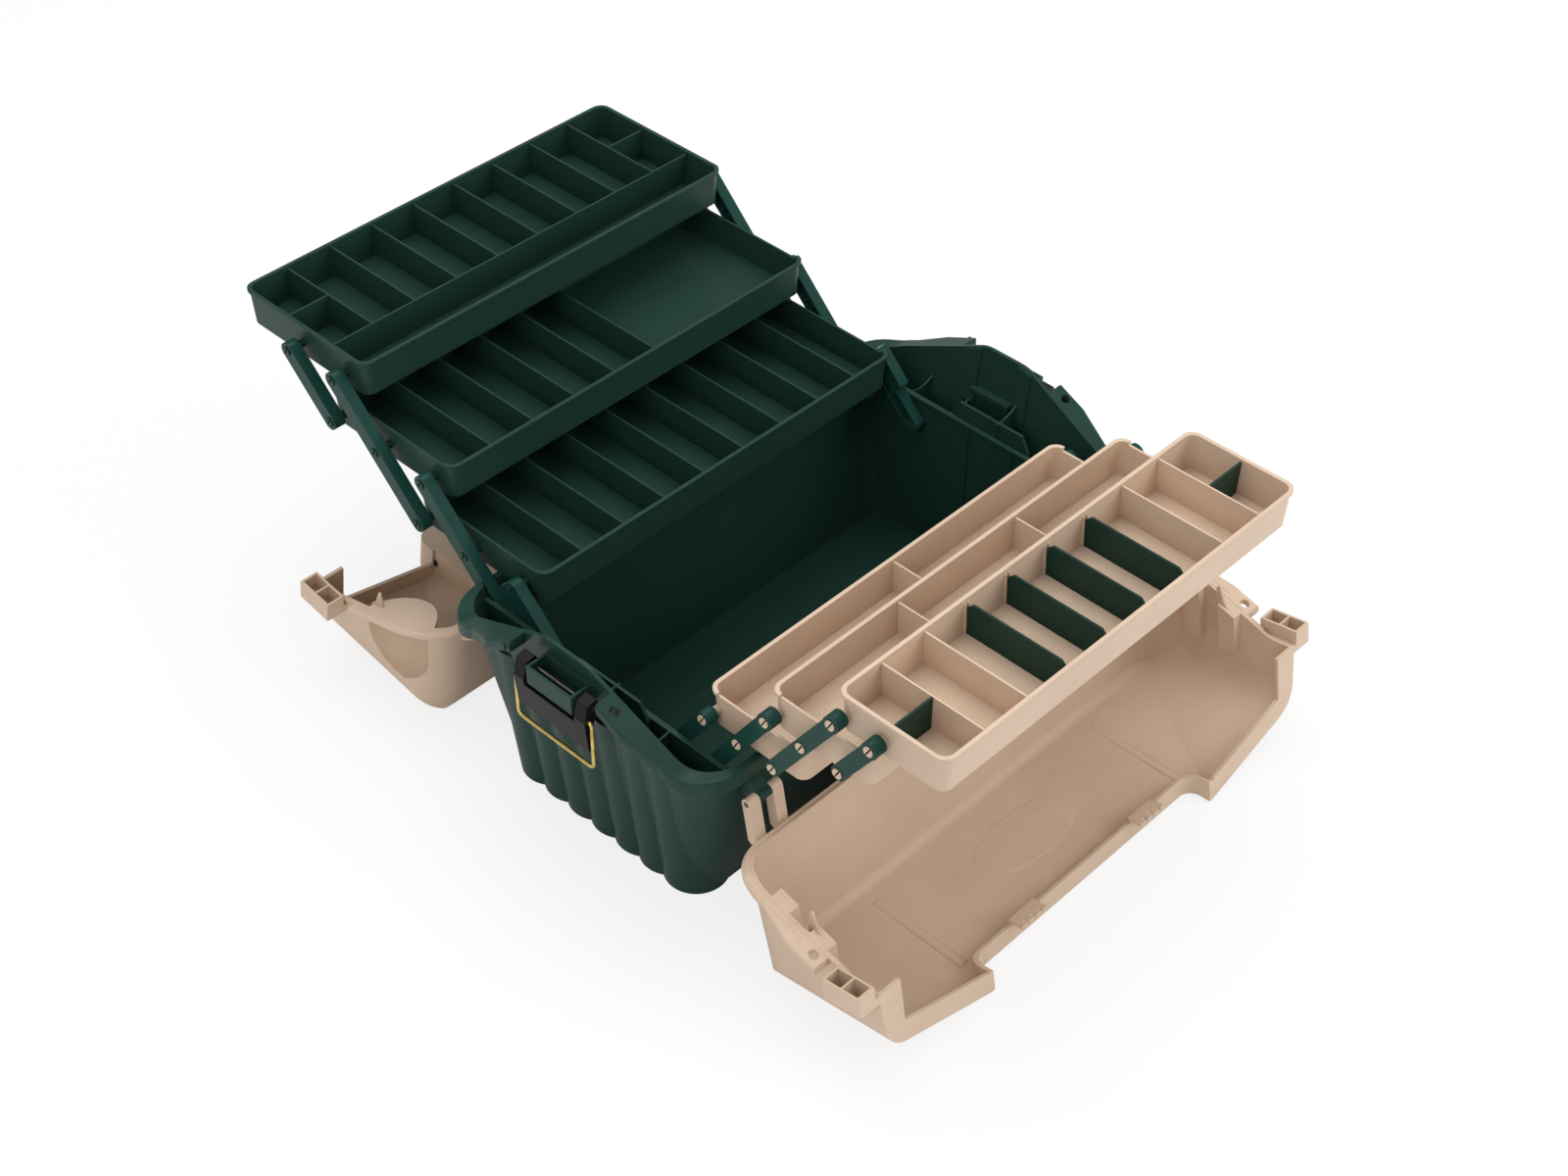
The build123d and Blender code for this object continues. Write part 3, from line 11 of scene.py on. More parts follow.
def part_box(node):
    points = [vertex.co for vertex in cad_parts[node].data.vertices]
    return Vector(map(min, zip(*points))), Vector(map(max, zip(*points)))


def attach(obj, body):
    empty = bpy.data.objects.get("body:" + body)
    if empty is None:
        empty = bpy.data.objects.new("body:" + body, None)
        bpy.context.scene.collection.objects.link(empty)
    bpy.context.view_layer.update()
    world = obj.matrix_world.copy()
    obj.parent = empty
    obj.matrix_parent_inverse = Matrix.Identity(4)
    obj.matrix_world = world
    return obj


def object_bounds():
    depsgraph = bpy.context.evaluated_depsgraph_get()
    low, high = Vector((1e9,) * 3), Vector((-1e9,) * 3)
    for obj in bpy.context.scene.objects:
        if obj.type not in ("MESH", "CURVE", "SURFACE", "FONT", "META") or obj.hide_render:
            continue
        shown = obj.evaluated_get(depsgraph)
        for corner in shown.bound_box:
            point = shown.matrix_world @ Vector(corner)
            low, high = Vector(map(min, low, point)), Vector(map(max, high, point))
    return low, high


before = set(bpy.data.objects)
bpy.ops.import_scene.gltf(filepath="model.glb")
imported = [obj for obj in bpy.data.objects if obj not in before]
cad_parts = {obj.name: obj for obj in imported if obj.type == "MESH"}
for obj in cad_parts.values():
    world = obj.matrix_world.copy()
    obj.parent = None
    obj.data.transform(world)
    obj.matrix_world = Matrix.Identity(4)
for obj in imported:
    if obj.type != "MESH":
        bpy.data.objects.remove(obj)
CAD_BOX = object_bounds()

bl_info = {
    "name": "Hip-Roof Tackle Box",
    "version": (1, 0, 0),
    "blender": (4, 5, 0),
    "location": "View3D > Sidebar > Tackle Box",
    "description": "Finishes and fine mouldings of an open six-tray tackle box",
    "category": "Object",
}

ENDS = ("near", "far")
ORDERS = ("first", "second", "third", "fourth")

# The tub's rim line, seen from the end: two heights and the slope between them
SIDE_RIM = 0.161
END_RIM = 0.207
RIM_CREST = 0.022
RIM_FOOT = 0.118
RIM_BEND = 0.030

# The lids: hinge line as (across, height), travel, mating flange and underside of the closed roof
HINGE = (0.1485, 0.132)
LID_OPENING = math.radians(170)
LID_GAP = 0.0006
FLANGE_HALF = (0.252, 0.143)
FLANGE_CORNER = 0.040
ROOF_INSIDE = 0.2875
ROOF_FALL = 0.1654

# Beads on a lid's flange: inset from its outline, and how far from the middle each starts
BEADS = ((0.0026, 0.066), (0.0072, 0.030))
BEAD_STEPS = (24, 16, 20)

# Crease ridges, where a lid's roof meets its hip, sunk a little into the roof
CREASE_X = 0.130
CREASE_START = {-1: 0.030, 1: 0.070}
CREASE_FOOT = 0.116
CREASE_SINK = 0.0006
CREASE_STEPS = 12

# Locating tongues at the lids' ends: outline as (across, height), and the feet that carry them
TONGUE_X = 0.2370
TONGUE = (
    (0.0575, 0.1980),
    (0.0575, 0.1905),
    (0.0625, 0.1850),
    (0.0650, 0.1720),
    (0.0665, 0.1705),
    (0.0680, 0.1720),
    (0.0720, 0.1880),
    (0.0720, 0.1980),
)
FOOT_X = (0.2355, 0.2425)
FOOT_Z = (0.1925, 0.1975)
FOOT_START = 0.0580
FOOT_REACH = 0.0135

# The oval pad in the roof of the front lid: its place and half sizes, and shares of size and rise
PAD_Y = 0.080
PAD_HALF = (0.060, 0.026)
PAD_FLAT = 0.55
PAD_EDGE = 0.16
PAD_SINK = 0.6
PAD_LEVELS = 4
PAD_STEPS = 48

# Rings round the handle's grip, whose centre is (across, height) in the closed box
GRIP_CENTRE = (0.047, 0.272)
GRIP_RADIUS = 0.008
RING_COUNT = 23
RING_PITCH = 0.0058
RING_WIDTH = 0.0012
RING_HEIGHT = 0.0005
RING_STEPS = 24

# Trays: half length outside, floor thickness, room that ribs keep from the walls, depths and trough
TRAY_HALF = 0.1945
TRAY_FLOOR = 0.002
WALL_ROOM = 0.0056
TAN_DEPTH = 0.033
GREEN_DEPTH = 0.032
TROUGH_WIDTH = 0.0352

# Cross sections of ridges and ribs, as (across, up) shares of a half width and a height
RIDGE_SECTION = ((-1, -0.5), (-0.8, 0.15), (-0.45, 0.75), (0, 1), (0.45, 0.75), (0.8, 0.15), (1, -0.5))
RIB_SECTION = ((-1, -0.6), (-0.55, 1), (0.55, 1), (1, -0.6))

# Softened part of a plate's thickness, and the angle from which an edge stays sharp
PLATE_SOFTNESS = 0.2
SHARP_ANGLE = math.radians(40)

# Tones beside the plain colour: clouds in plastic, lever edges and scuffs lightened as wear and as a
# painted highlight, dull plating, paper fibres
CLOUD_TONES = (0.93, 1.06)
LEVER_EDGE_AND_SCUFF = 6
DULL_PLATING = 0.62
FIBRE_TONE = 1.03

# How much smoother the links are than the other green plastic
LINK_SMOOTHNESS = 0.06

# Colour sockets of the Mix node
MIX_COLOURS = (6, 7)
MIX_RESULT = 2

# Gap between the object and the studio floor
FLOOR_GAP = 0.0003


def colour_property(name, description, default):
    """A linear colour that shows as a swatch in the panel."""
    return FloatVectorProperty(
        name=name, description=description, default=default, subtype="COLOR", min=0, max=1, size=3
    )


def length_property(name, description, default):
    """A length in metres."""
    return FloatProperty(name=name, description=description, default=default, unit="LENGTH", precision=5)


def share_property(name, description, default):
    """A plain share from 0 to 1."""
    return FloatProperty(
        name=name, description=description, default=default, subtype="FACTOR", min=0, max=1
    )


def angle_property(name, description, degrees):
    """An angle, shown in degrees."""
    return FloatProperty(
        name=name, description=description, default=math.radians(degrees), unit="ROTATION"
    )


def power_property(name, description, default):
    """The power of a lamp in watts."""
    return FloatProperty(name=name, description=description, default=default, unit="POWER")


class PlasticFinish(bpy.types.PropertyGroup):
    """Colours and surface of the moulded plastics."""

    green: colour_property("Green", "Tub and green trays", (0.0165, 0.0470, 0.0355))
    # Lighter green taken by scuffs, and by edges both as wear and as a painted highlight
    green_edge_and_scuff: colour_property("Green edge", "Rubbed edges of the green plastic", (0.046, 0.100, 0.080))
    tan: colour_property("Tan", "Lids and tan trays", (0.625, 0.472, 0.350))
    # Lighter tan taken by scuffs, and by edges both as wear and as a painted highlight
    tan_edge_and_scuff: colour_property("Tan edge", "Rubbed edges of the tan plastic", (0.720, 0.590, 0.465))
    link: colour_property("Link green", "Arms that carry the trays", (0.0110, 0.0500, 0.0400))
    divider: colour_property("Divider green", "Lift-out dividers", (0.0120, 0.0400, 0.0280))
    lever: colour_property("Lever black", "Latch levers", (0.0085, 0.0080, 0.0075))
    grip: colour_property("Handle green", "Carrying handle", (0.0130, 0.0400, 0.0290))
    green_roughness: share_property("Green roughness", "Satin of the green mouldings", 0.30)
    tan_roughness: share_property("Tan roughness", "Satin of the tan mouldings", 0.38)
    green_gloss: share_property("Green gloss", "Strength of the reflections on green", 0.12)
    tan_gloss: share_property("Tan gloss", "Strength of the reflections on tan", 0.25)
    lever_gloss: share_property("Lever gloss", "Strength of the reflections on the levers", 0.09)
    edge_round: length_property("Edge rounding", "Radius that softens every moulded edge", 0.0006)
    grain_height: length_property("Grain height", "Depth of the mould's spark-eroded grain", 0.00002)
    ripple_height: length_property("Ripple height", "Depth of the slow ripple in flat walls", 0.0006)


class MouldingSizes(bpy.types.PropertyGroup):
    """Sizes of the fine mouldings, in the box's own metres."""

    rib_pitch: length_property("Rib pitch", "Spacing of the fine ribs on tray floors", 0.0027)
    rib_width: length_property("Rib width", "Width of a floor rib", 0.0008)
    rib_height: length_property("Rib height", "Height of a floor rib", 0.00018)
    bead_width: length_property("Bead width", "Half the width of a bead on a lid's flange", 0.0008)
    bead_height: length_property("Bead height", "Height of a bead on a lid's flange", 0.00045)
    crease_width: length_property("Crease width", "Half the width of a lid's crease ridge", 0.0040)
    crease_height: length_property("Crease height", "Height of a lid's crease ridge", 0.0007)
    pad_rise: length_property("Pad rise", "Height of the oval pad in the front lid", 0.0008)
    tongue_thickness: length_property("Tongue thickness", "Plate thickness of the locating tongues", 0.0018)


class MetalFinish(bpy.types.PropertyGroup):
    """Colours and surface of the pins and bails."""

    wire: colour_property("Bail wire", "Yellow plated wire", (0.760, 0.560, 0.180))
    pin: colour_property("Pin steel", "Hinge and latch pins", (0.115, 0.112, 0.108))
    wire_roughness: share_property("Wire roughness", "Sheen of the plated wire", 0.28)
    pin_roughness: share_property("Pin roughness", "Sheen of the pins", 0.34)
    line_depth: length_property("Line depth", "Depth of the fine lines left by drawing", 0.00004)


class Studio(bpy.types.PropertyGroup):
    """Camera, lamps and floor."""

    eye: FloatVectorProperty(
        name="Eye",
        description="Place of the camera",
        default=(-1.0668, -1.0006, 1.4321),
        unit="LENGTH",
        size=3,
    )
    turn: angle_property("Turn", "View direction from +X towards +Y", 43.69)
    tilt: angle_property("Tilt", "How far the camera looks down", 42.13)
    roll: angle_property("Roll", "Turn about the line of sight", 0.39)
    lens: FloatProperty(name="Lens", description="Focal length", default=56.96, unit="CAMERA")
    floor_size: length_property("Floor size", "Half the side of the floor", 9.0)
    floor_colour: colour_property("Floor colour", "Paper of the studio floor", (0.88, 0.88, 0.88))
    key_power: power_property("Key power", "Lamp at the left of the camera", 13)
    fill_power: power_property("Fill power", "Lamp at the right of the camera", 26)
    top_power: power_property("Top power", "Overhead lamp", 42)
    floor_lift: share_property("Floor lift", "How far the paper is lifted to white for the camera", 0.80)
    sky: share_property("Sky", "Strength of the even light from all round", 0.52)


class Reading:
    """A shader socket on which Python's operators add Math nodes."""

    def __init__(self, nodes, socket):
        self.nodes = nodes
        self.socket = socket

    def joined(self, operation, first, second):
        """One Math node on two values."""
        return self.nodes.node("ShaderNodeMath", {"operation": operation}, {0: first, 1: second})

    def __add__(self, other):
        return self.joined("ADD", self, other)

    def __radd__(self, other):
        return self.joined("ADD", other, self)

    def __sub__(self, other):
        return self.joined("SUBTRACT", self, other)

    def __rsub__(self, other):
        return self.joined("SUBTRACT", other, self)

    def __mul__(self, other):
        return self.joined("MULTIPLY", self, other)

    def __rmul__(self, other):
        return self.joined("MULTIPLY", other, self)


class Nodes:
    """An emptied node tree and the one method that adds nodes to it."""

    def __init__(self, owner):
        owner.use_nodes = True
        self.tree = owner.node_tree
        self.tree.nodes.clear()

    def node(self, kind, settings=None, inputs=None, output=0):
        """Adds a node: its settings first, then the values or links of its sockets."""
        made = self.tree.nodes.new(kind)
        for name, value in (settings or {}).items():
            if name == "stops":
                self.set_stops(made.color_ramp, value)
            else:
                setattr(made, name, value)
        for name, value in (inputs or {}).items():
            self.feed(made.inputs[name], value)
        return Reading(self, made.outputs[output])

    def set_stops(self, ramp, stops):
        """The two grey stops of a ramp, from (place, level) pairs."""
        for element, (place, level) in zip(ramp.elements, stops):
            element.position = place
            element.color = (level, level, level, 1)

    def feed(self, socket, value):
        """Links a reading into a socket, or sets its value."""
        if isinstance(value, Reading):
            self.tree.links.new(value.socket, socket)
        elif socket.type == "RGBA":
            socket.default_value = (*value, 1)
        else:
            socket.default_value = value

    def seen(self):
        """1 for rays from the camera or through a clear surface, 0 for all others."""
        camera = self.node("ShaderNodeLightPath", output="Is Camera Ray")
        through = self.node("ShaderNodeLightPath", output="Is Transmission Ray")
        return self.node("ShaderNodeMath", {"operation": "MAXIMUM"}, {0: camera, 1: through})

    def close(self, kind, shader):
        """Ends the tree with its output node."""
        output = self.tree.nodes.new(kind)
        self.tree.links.new(shader.socket, output.inputs["Surface"])


class Finish(Nodes):
    """One material, with the textures that it is made of."""

    def __init__(self, name):
        self.material = bpy.data.materials.new(name)
        super().__init__(self.material)
        self.places = self.node("ShaderNodeTexCoord", output="Object")

    def stretched(self, x, y, z):
        """Object places multiplied by a factor along each axis."""
        return self.node("ShaderNodeVectorMath", {"operation": "MULTIPLY"}, {0: self.places, 1: (x, y, z)})

    def noise(self, scale, detail, places=None):
        """Soft noise from 0 to 1; scale is in cycles a metre."""
        inputs = {"Vector": places or self.places, "Scale": scale, "Detail": detail, "Roughness": 0.55}
        return self.node("ShaderNodeTexNoise", None, inputs)

    def ramp(self, value, start, end):
        """A value passed through a straight rise between two (place, level) stops."""
        return self.node("ShaderNodeValToRGB", {"stops": (start, end)}, {"Fac": value})

    def mixed(self, share, first, second):
        """A colour part of the way from first to second."""
        low, high = MIX_COLOURS
        inputs = {"Factor": share, low: first, high: second}
        return self.node("ShaderNodeMix", {"data_type": "RGBA"}, inputs, output=MIX_RESULT)

    def edge_mask(self, radius):
        """Near 1 along sharp edges and 0 on flats, with the rounded normal."""
        rounded = self.node("ShaderNodeBevel", {"samples": 4}, {"Radius": radius})
        flat = self.node("ShaderNodeNewGeometry", output="Normal")
        facing = self.node(
            "ShaderNodeVectorMath", {"operation": "DOT_PRODUCT"}, {0: rounded, 1: flat}, output="Value"
        )
        return self.ramp(1 - facing, (0.01, 0.0), (0.20, 1.0)), rounded

    def bump(self, height, distance, strength, normal):
        """A normal pushed about by a height."""
        inputs = {"Height": height, "Distance": distance, "Strength": strength, "Normal": normal}
        return self.node("ShaderNodeBump", None, inputs)

    def surface(self, **sockets):
        """Closes the material with the principled surface."""
        named = {name.replace("_", " "): value for name, value in sockets.items()}
        self.close("ShaderNodeOutputMaterial", self.node("ShaderNodeBsdfPrincipled", None, named))
        return self.material


def toned(colour, factor):
    """A colour made darker or lighter, up to white at most."""
    return tuple(min(1.0, factor * part) for part in colour)


def moulded_plastic(name, colour, edge_and_scuff, roughness, gloss, scuffs):
    """Injection-moulded polypropylene: fine grain, flow clouds, a few scuffs, and edges lightened partly as
    wear and partly as a painted highlight.
    """
    look = bpy.context.scene.tackle_plastic
    finish = Finish(name)
    edges, rounded = finish.edge_mask(look.edge_round)
    clouds = finish.noise(scale=9.0, detail=4.0)
    flow = finish.noise(scale=1.0, detail=5.0, places=finish.stretched(14.0, 55.0, 70.0))
    streaks = finish.noise(scale=1.0, detail=6.0, places=finish.stretched(35.0, 300.0, 420.0))
    rubs = finish.ramp(streaks, (0.66, 0.0), (0.74, 1.0))
    patches = finish.ramp(finish.noise(scale=16.0, detail=2.0), (0.50, 0.0), (0.62, 1.0))
    marks = rubs * patches * scuffs
    darker, lighter = (toned(colour, factor) for factor in CLOUD_TONES)
    tone = finish.ramp(clouds * 0.65 + flow * 0.35, (0.32, 0.0), (0.68, 1.0))
    base = finish.mixed(tone, darker, lighter)
    # Edges and scuffs take the lighter colour: along the edges it is wear and a painted highlight together
    scuffed_and_edge_lit = finish.mixed(edges * 0.55 + marks, base, edge_and_scuff)
    grain = finish.noise(scale=2600.0, detail=2.0)
    ripple = finish.noise(scale=38.0, detail=2.0)
    grained = finish.bump(grain, distance=look.grain_height, strength=0.35, normal=rounded)
    rippled = finish.bump(ripple, distance=look.ripple_height, strength=0.06, normal=grained)
    return finish.surface(
        Base_Color=scuffed_and_edge_lit,
        Roughness=roughness + clouds * 0.08 - 0.04 + flow * 0.05 + marks * 0.25,
        Normal=rippled,
        Specular_IOR_Level=gloss,
        IOR=1.49,
    )


def plated_metal(name, colour, roughness):
    """Drawn wire: fine lines in it and a slightly uneven plating."""
    scene = bpy.context.scene
    finish = Finish(name)
    edges, rounded = finish.edge_mask(scene.tackle_plastic.edge_round)
    tarnish = finish.noise(scale=120.0, detail=4.0)
    lines = finish.noise(scale=1.0, detail=3.0, places=finish.stretched(900.0, 900.0, 900.0))
    dull = toned(colour, DULL_PLATING)
    base = finish.mixed(finish.ramp(tarnish, (0.35, 0.0), (0.70, 1.0)), colour, dull)
    return finish.surface(
        Base_Color=finish.mixed(edges * 0.3, base, colour),
        Roughness=roughness + tarnish * 0.16,
        Metallic=1.0,
        Normal=finish.bump(lines, scene.tackle_metal.line_depth, strength=0.3, normal=rounded),
    )


def studio_paper(colour, lift):
    """White paper: plain and matt, lifted for the camera so that only the shadow shows."""
    finish = Finish("studio_paper")
    fibres = finish.noise(scale=400.0, detail=3.0)
    paper = finish.mixed(fibres, colour, toned(colour, FIBRE_TONE))
    matt = finish.node("ShaderNodeBsdfDiffuse", None, {"Color": paper})
    glow = finish.node("ShaderNodeEmission", None, {"Color": (1.0, 1.0, 1.0), "Strength": 1.0})
    both = finish.node("ShaderNodeMixShader", None, {"Fac": finish.seen() * lift, 1: matt, 2: glow})
    finish.close("ShaderNodeOutputMaterial", both)
    return finish.material


def dress(nodes, material):
    """Gives CAD nodes a material in every slot."""
    for name in nodes:
        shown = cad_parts[name]
        if not shown.material_slots:
            shown.data.materials.append(material)
        for place in shown.material_slots:
            place.material = material


class Moulding:
    """Fine raised shapes of one body, each of them closed, gathered into one mesh."""

    def __init__(self):
        self.shape = bmesh.new()

    def skin(self, rings, closed):
        """Joins rings of equal length into a tube, capped unless it closes on itself."""
        made = [[self.shape.verts.new(point) for point in ring] for ring in rings]
        count = len(made[0])
        pairs = list(zip(made, made[1:]))
        if closed:
            pairs.append((made[-1], made[0]))
        for near, far in pairs:
            for place in range(count):
                after = (place + 1) % count
                self.shape.faces.new((near[place], near[after], far[after], far[place]))
        if not closed:
            self.shape.faces.new(made[0])
            self.shape.faces.new(tuple(reversed(made[-1])))

    def ridge(self, points, ups, half_width, height, closed=False):
        """A soft ridge along points on a surface, raised towards ups."""
        rings = []
        last = len(points) - 1
        for place, (point, up) in enumerate(zip(points, ups)):
            before = points[place - 1] if closed or place > 0 else point
            after = points[(place + 1) % len(points)] if closed or place < last else point
            along = (after - before).normalized()
            side = along.cross(up).normalized()
            rings.append([point + side * half_width * s + up * height * t for s, t in RIDGE_SECTION])
        self.skin(rings, closed)

    def rib(self, start, end, up, half_width, height):
        """A straight rib with sloping flanks."""
        side = (end - start).cross(up).normalized()
        outline = [side * half_width * s + up * height * t for s, t in RIB_SECTION]
        self.skin([[point + place for place in outline] for point in (start, end)], closed=False)

    def pad(self, centre, along, across, up, rise):
        """A low oval pad whose edge falls away softly."""
        levels = [(PAD_FLAT, 1.0)]
        for step in range(PAD_LEVELS + 1):
            fall = step / PAD_LEVELS
            levels.append((1 - PAD_EDGE * (1 - fall), (1 + math.cos(math.pi * fall)) / 2))
        levels.append((1.0, -PAD_SINK))
        rings = []
        for share, level in levels:
            ring = []
            for step in range(PAD_STEPS):
                angle = 2 * math.pi * step / PAD_STEPS
                flat = along * math.cos(angle) + across * math.sin(angle)
                ring.append(centre + flat * share + up * rise * level)
            rings.append(ring)
        self.skin(rings, closed=False)

    def plate(self, outline, thickness):
        """A flat plate with softened edges: its outline, carried through a thickness."""
        rings = [outline, [point + thickness for point in outline]]
        known = set(self.shape.verts)
        self.skin(rings, closed=False)
        fresh = [edge for edge in self.shape.edges if not known.intersection(edge.verts)]
        softened = thickness.length * PLATE_SOFTNESS
        bmesh.ops.bevel(
            self.shape, geom=fresh, offset=softened, segments=2, profile=0.5, affect="EDGES"
        )

    def finish(self, name, body, slot, material, place=None):
        """Writes the mesh, turns its faces outwards and lets it ride on a body."""
        bmesh.ops.recalc_face_normals(self.shape, faces=self.shape.faces)
        if place is not None:
            bmesh.ops.transform(self.shape, matrix=place, verts=self.shape.verts)
        mesh = bpy.data.meshes.new(name)
        self.shape.to_mesh(mesh)
        self.shape.free()
        mesh.shade_smooth()
        mesh.set_sharp_from_angle(angle=SHARP_ANGLE)
        mesh.materials.append(material)
        piece = bpy.data.objects.new(name, mesh)
        bpy.context.scene.collection.objects.link(piece)
        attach(piece, body)


def rim_height(y):
    """Height of the tub's rim line, with its rounded bends, at a distance from the middle."""
    y = abs(y)
    slope = math.atan2(END_RIM - SIDE_RIM, RIM_FOOT - RIM_CREST)
    reach = RIM_BEND * math.tan(slope / 2)
    span = RIM_BEND * math.sin(slope)
    crest_start, foot_end = RIM_CREST - reach, RIM_FOOT + reach
    if y < crest_start:
        return END_RIM
    if y < crest_start + span:
        return END_RIM - RIM_BEND + math.sqrt(RIM_BEND**2 - (y - crest_start) ** 2)
    if y < foot_end - span:
        return END_RIM - (y - RIM_CREST) * math.tan(slope)
    if y < foot_end:
        return SIDE_RIM + RIM_BEND - math.sqrt(RIM_BEND**2 - (foot_end - y) ** 2)
    return SIDE_RIM


def flange_line(side, inset, start):
    """Points round a lid's mating face, from one end to the other, with the way out of the face."""
    length, width = FLANGE_HALF[0] - inset, FLANGE_HALF[1] - inset
    corner = FLANGE_CORNER - inset
    end_steps, bend_steps, side_steps = BEAD_STEPS
    plan = [(-length, start + (width - corner - start) * step / end_steps) for step in range(end_steps)]
    for step in range(bend_steps + 1):
        angle = math.pi / 2 * step / bend_steps
        plan.append((-length + corner * (1 - math.cos(angle)), width - corner * (1 - math.sin(angle))))
    plan += [(-(length - corner) * (1 - step / side_steps), width) for step in range(1, side_steps + 1)]
    plan += [(-x, y) for x, y in reversed(plan[:-1])]
    points = [Vector((x, side * y, rim_height(y) + LID_GAP)) for x, y in plan]
    ups = []
    nudge = 0.0004
    for point in points:
        fall = (rim_height(point.y + nudge) - rim_height(point.y - nudge)) / (2 * nudge)
        ups.append(Vector((0, fall, -1)).normalized())
    return points, ups


def opened(side):
    """The turn that takes a closed lid to its place when open."""
    hinge = Vector((0, side * HINGE[0], HINGE[1]))
    turn = Matrix.Rotation(-side * LID_OPENING, 4, "X")
    return Matrix.Translation(hinge) @ turn @ Matrix.Translation(-hinge)


def roof_inside(y):
    """Height of the underside of a closed lid's roof."""
    return ROOF_INSIDE - ROOF_FALL * abs(y)


def under_roof(side):
    """The way down from the underside of a closed lid's roof."""
    return Vector((0, -side * ROOF_FALL, -1)).normalized()


def crease_line(side, end):
    """Points along the line where a lid's roof meets its hip."""
    start = CREASE_START[side]
    points = []
    for step in range(CREASE_STEPS):
        y = start + (CREASE_FOOT - start) * step / (CREASE_STEPS - 1)
        points.append(Vector((end * CREASE_X, side * y, roof_inside(y) - CREASE_SINK)))
    return points


def lid_moulding(side, sizes):
    """Beads, crease ridges and locating tongues of one lid, drawn as if it were closed."""
    made = Moulding()
    for inset, start in BEADS:
        points, ups = flange_line(side, inset, start)
        made.ridge(points, ups, sizes.bead_width, sizes.bead_height)
    (near_x, far_x), (low_z, high_z) = FOOT_X, FOOT_Z
    corners = ((near_x, low_z), (far_x, low_z), (far_x, high_z), (near_x, high_z))
    for end in (-1, 1):
        ups = [under_roof(side)] * CREASE_STEPS
        made.ridge(crease_line(side, end), ups, sizes.crease_width, sizes.crease_height)
        tongue = [Vector((end * TONGUE_X, side * y, z)) for y, z in TONGUE]
        made.plate(tongue, Vector((-end * sizes.tongue_thickness, 0, 0)))
        foot = [Vector((end * x, side * FOOT_START, z)) for x, z in corners]
        made.plate(foot, Vector((0, side * FOOT_REACH, 0)))
    return made


def floor_ribs(made, x0, x1, y0, y1, z, sizes, along_x):
    """Fine parallel ribs over a tray's floor, along the box or across it."""
    up = Vector((0, 0, 1))
    first, last = (y0, y1) if along_x else (x0, x1)
    count = int((last - first) / sizes.rib_pitch)
    margin = (last - first - (count - 1) * sizes.rib_pitch) / 2
    for place in range(count):
        where = first + margin + place * sizes.rib_pitch
        if along_x:
            start, end = Vector((x0, where, z)), Vector((x1, where, z))
        else:
            start, end = Vector((where, y0, z)), Vector((where, y1, z))
        made.rib(start, end, up, sizes.rib_width / 2, sizes.rib_height)


def tray_floor(node, depth):
    """Limits of a tray's flat floor between its walls, and its level."""
    low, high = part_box(node)
    half = TRAY_HALF - WALL_ROOM
    return -half, half, low.y + WALL_ROOM, high.y - WALL_ROOM, high.z - depth + TRAY_FLOOR


class TackleOperator:
    """What every operator here shares."""

    bl_options = {"REGISTER", "UNDO"}


class TACKLE_OT_tub(TackleOperator, bpy.types.Operator):
    """Finish the base tub."""

    bl_idname = "tackle.tub"
    bl_label = "Base Tub"

    def execute(self, context):
        look = context.scene.tackle_plastic
        plastic = moulded_plastic(
            "tub_green", look.green, look.green_edge_and_scuff, look.green_roughness, look.green_gloss, scuffs=0.8
        )
        dress(["base_tub"], plastic)
        return {"FINISHED"}


class TACKLE_OT_lids(TackleOperator, bpy.types.Operator):
    """Finish both half lids."""

    bl_idname = "tackle.lids"
    bl_label = "Lids"

    def execute(self, context):
        look = context.scene.tackle_plastic
        sizes = context.scene.tackle_mouldings
        plastic = moulded_plastic(
            "lid_tan", look.tan, look.tan_edge_and_scuff, look.tan_roughness, look.tan_gloss, scuffs=0.2
        )
        dress(["front_lid", "back_lid"], plastic)
        front = lid_moulding(-1, sizes)
        middle = Vector((0, -PAD_Y, roof_inside(PAD_Y)))
        down = under_roof(-1)
        along = Vector((1, 0, 0))
        across = along.cross(down)
        front.pad(middle, along * PAD_HALF[0], across * PAD_HALF[1], down, sizes.pad_rise)
        front.finish("front_lid_mouldings", "front_lid", "tan_plastic", plastic, opened(-1))
        back = lid_moulding(1, sizes)
        back.finish("back_lid_mouldings", "back_lid", "tan_plastic", plastic, opened(1))
        return {"FINISHED"}


class TACKLE_OT_handle(TackleOperator, bpy.types.Operator):
    """Finish the carrying handle."""

    bl_idname = "tackle.handle"
    bl_label = "Carrying Handle"

    def execute(self, context):
        look = context.scene.tackle_plastic
        plastic = moulded_plastic(
            "handle_green", look.grip, look.green_edge_and_scuff, look.green_roughness, look.green_gloss, scuffs=0.5
        )
        dress(["carry_handle"], plastic)
        made = Moulding()
        angles = [2 * math.pi * step / RING_STEPS for step in range(RING_STEPS)]
        ups = [Vector((0, math.cos(angle), math.sin(angle))) for angle in angles]
        for ring in range(RING_COUNT):
            centre = Vector(((ring - RING_COUNT // 2) * RING_PITCH, *GRIP_CENTRE))
            points = [centre + up * GRIP_RADIUS for up in ups]
            made.ridge(points, ups, RING_WIDTH, RING_HEIGHT, closed=True)
        made.finish("handle_grip_rings", "handle", "handle_plastic", plastic, opened(1))
        return {"FINISHED"}


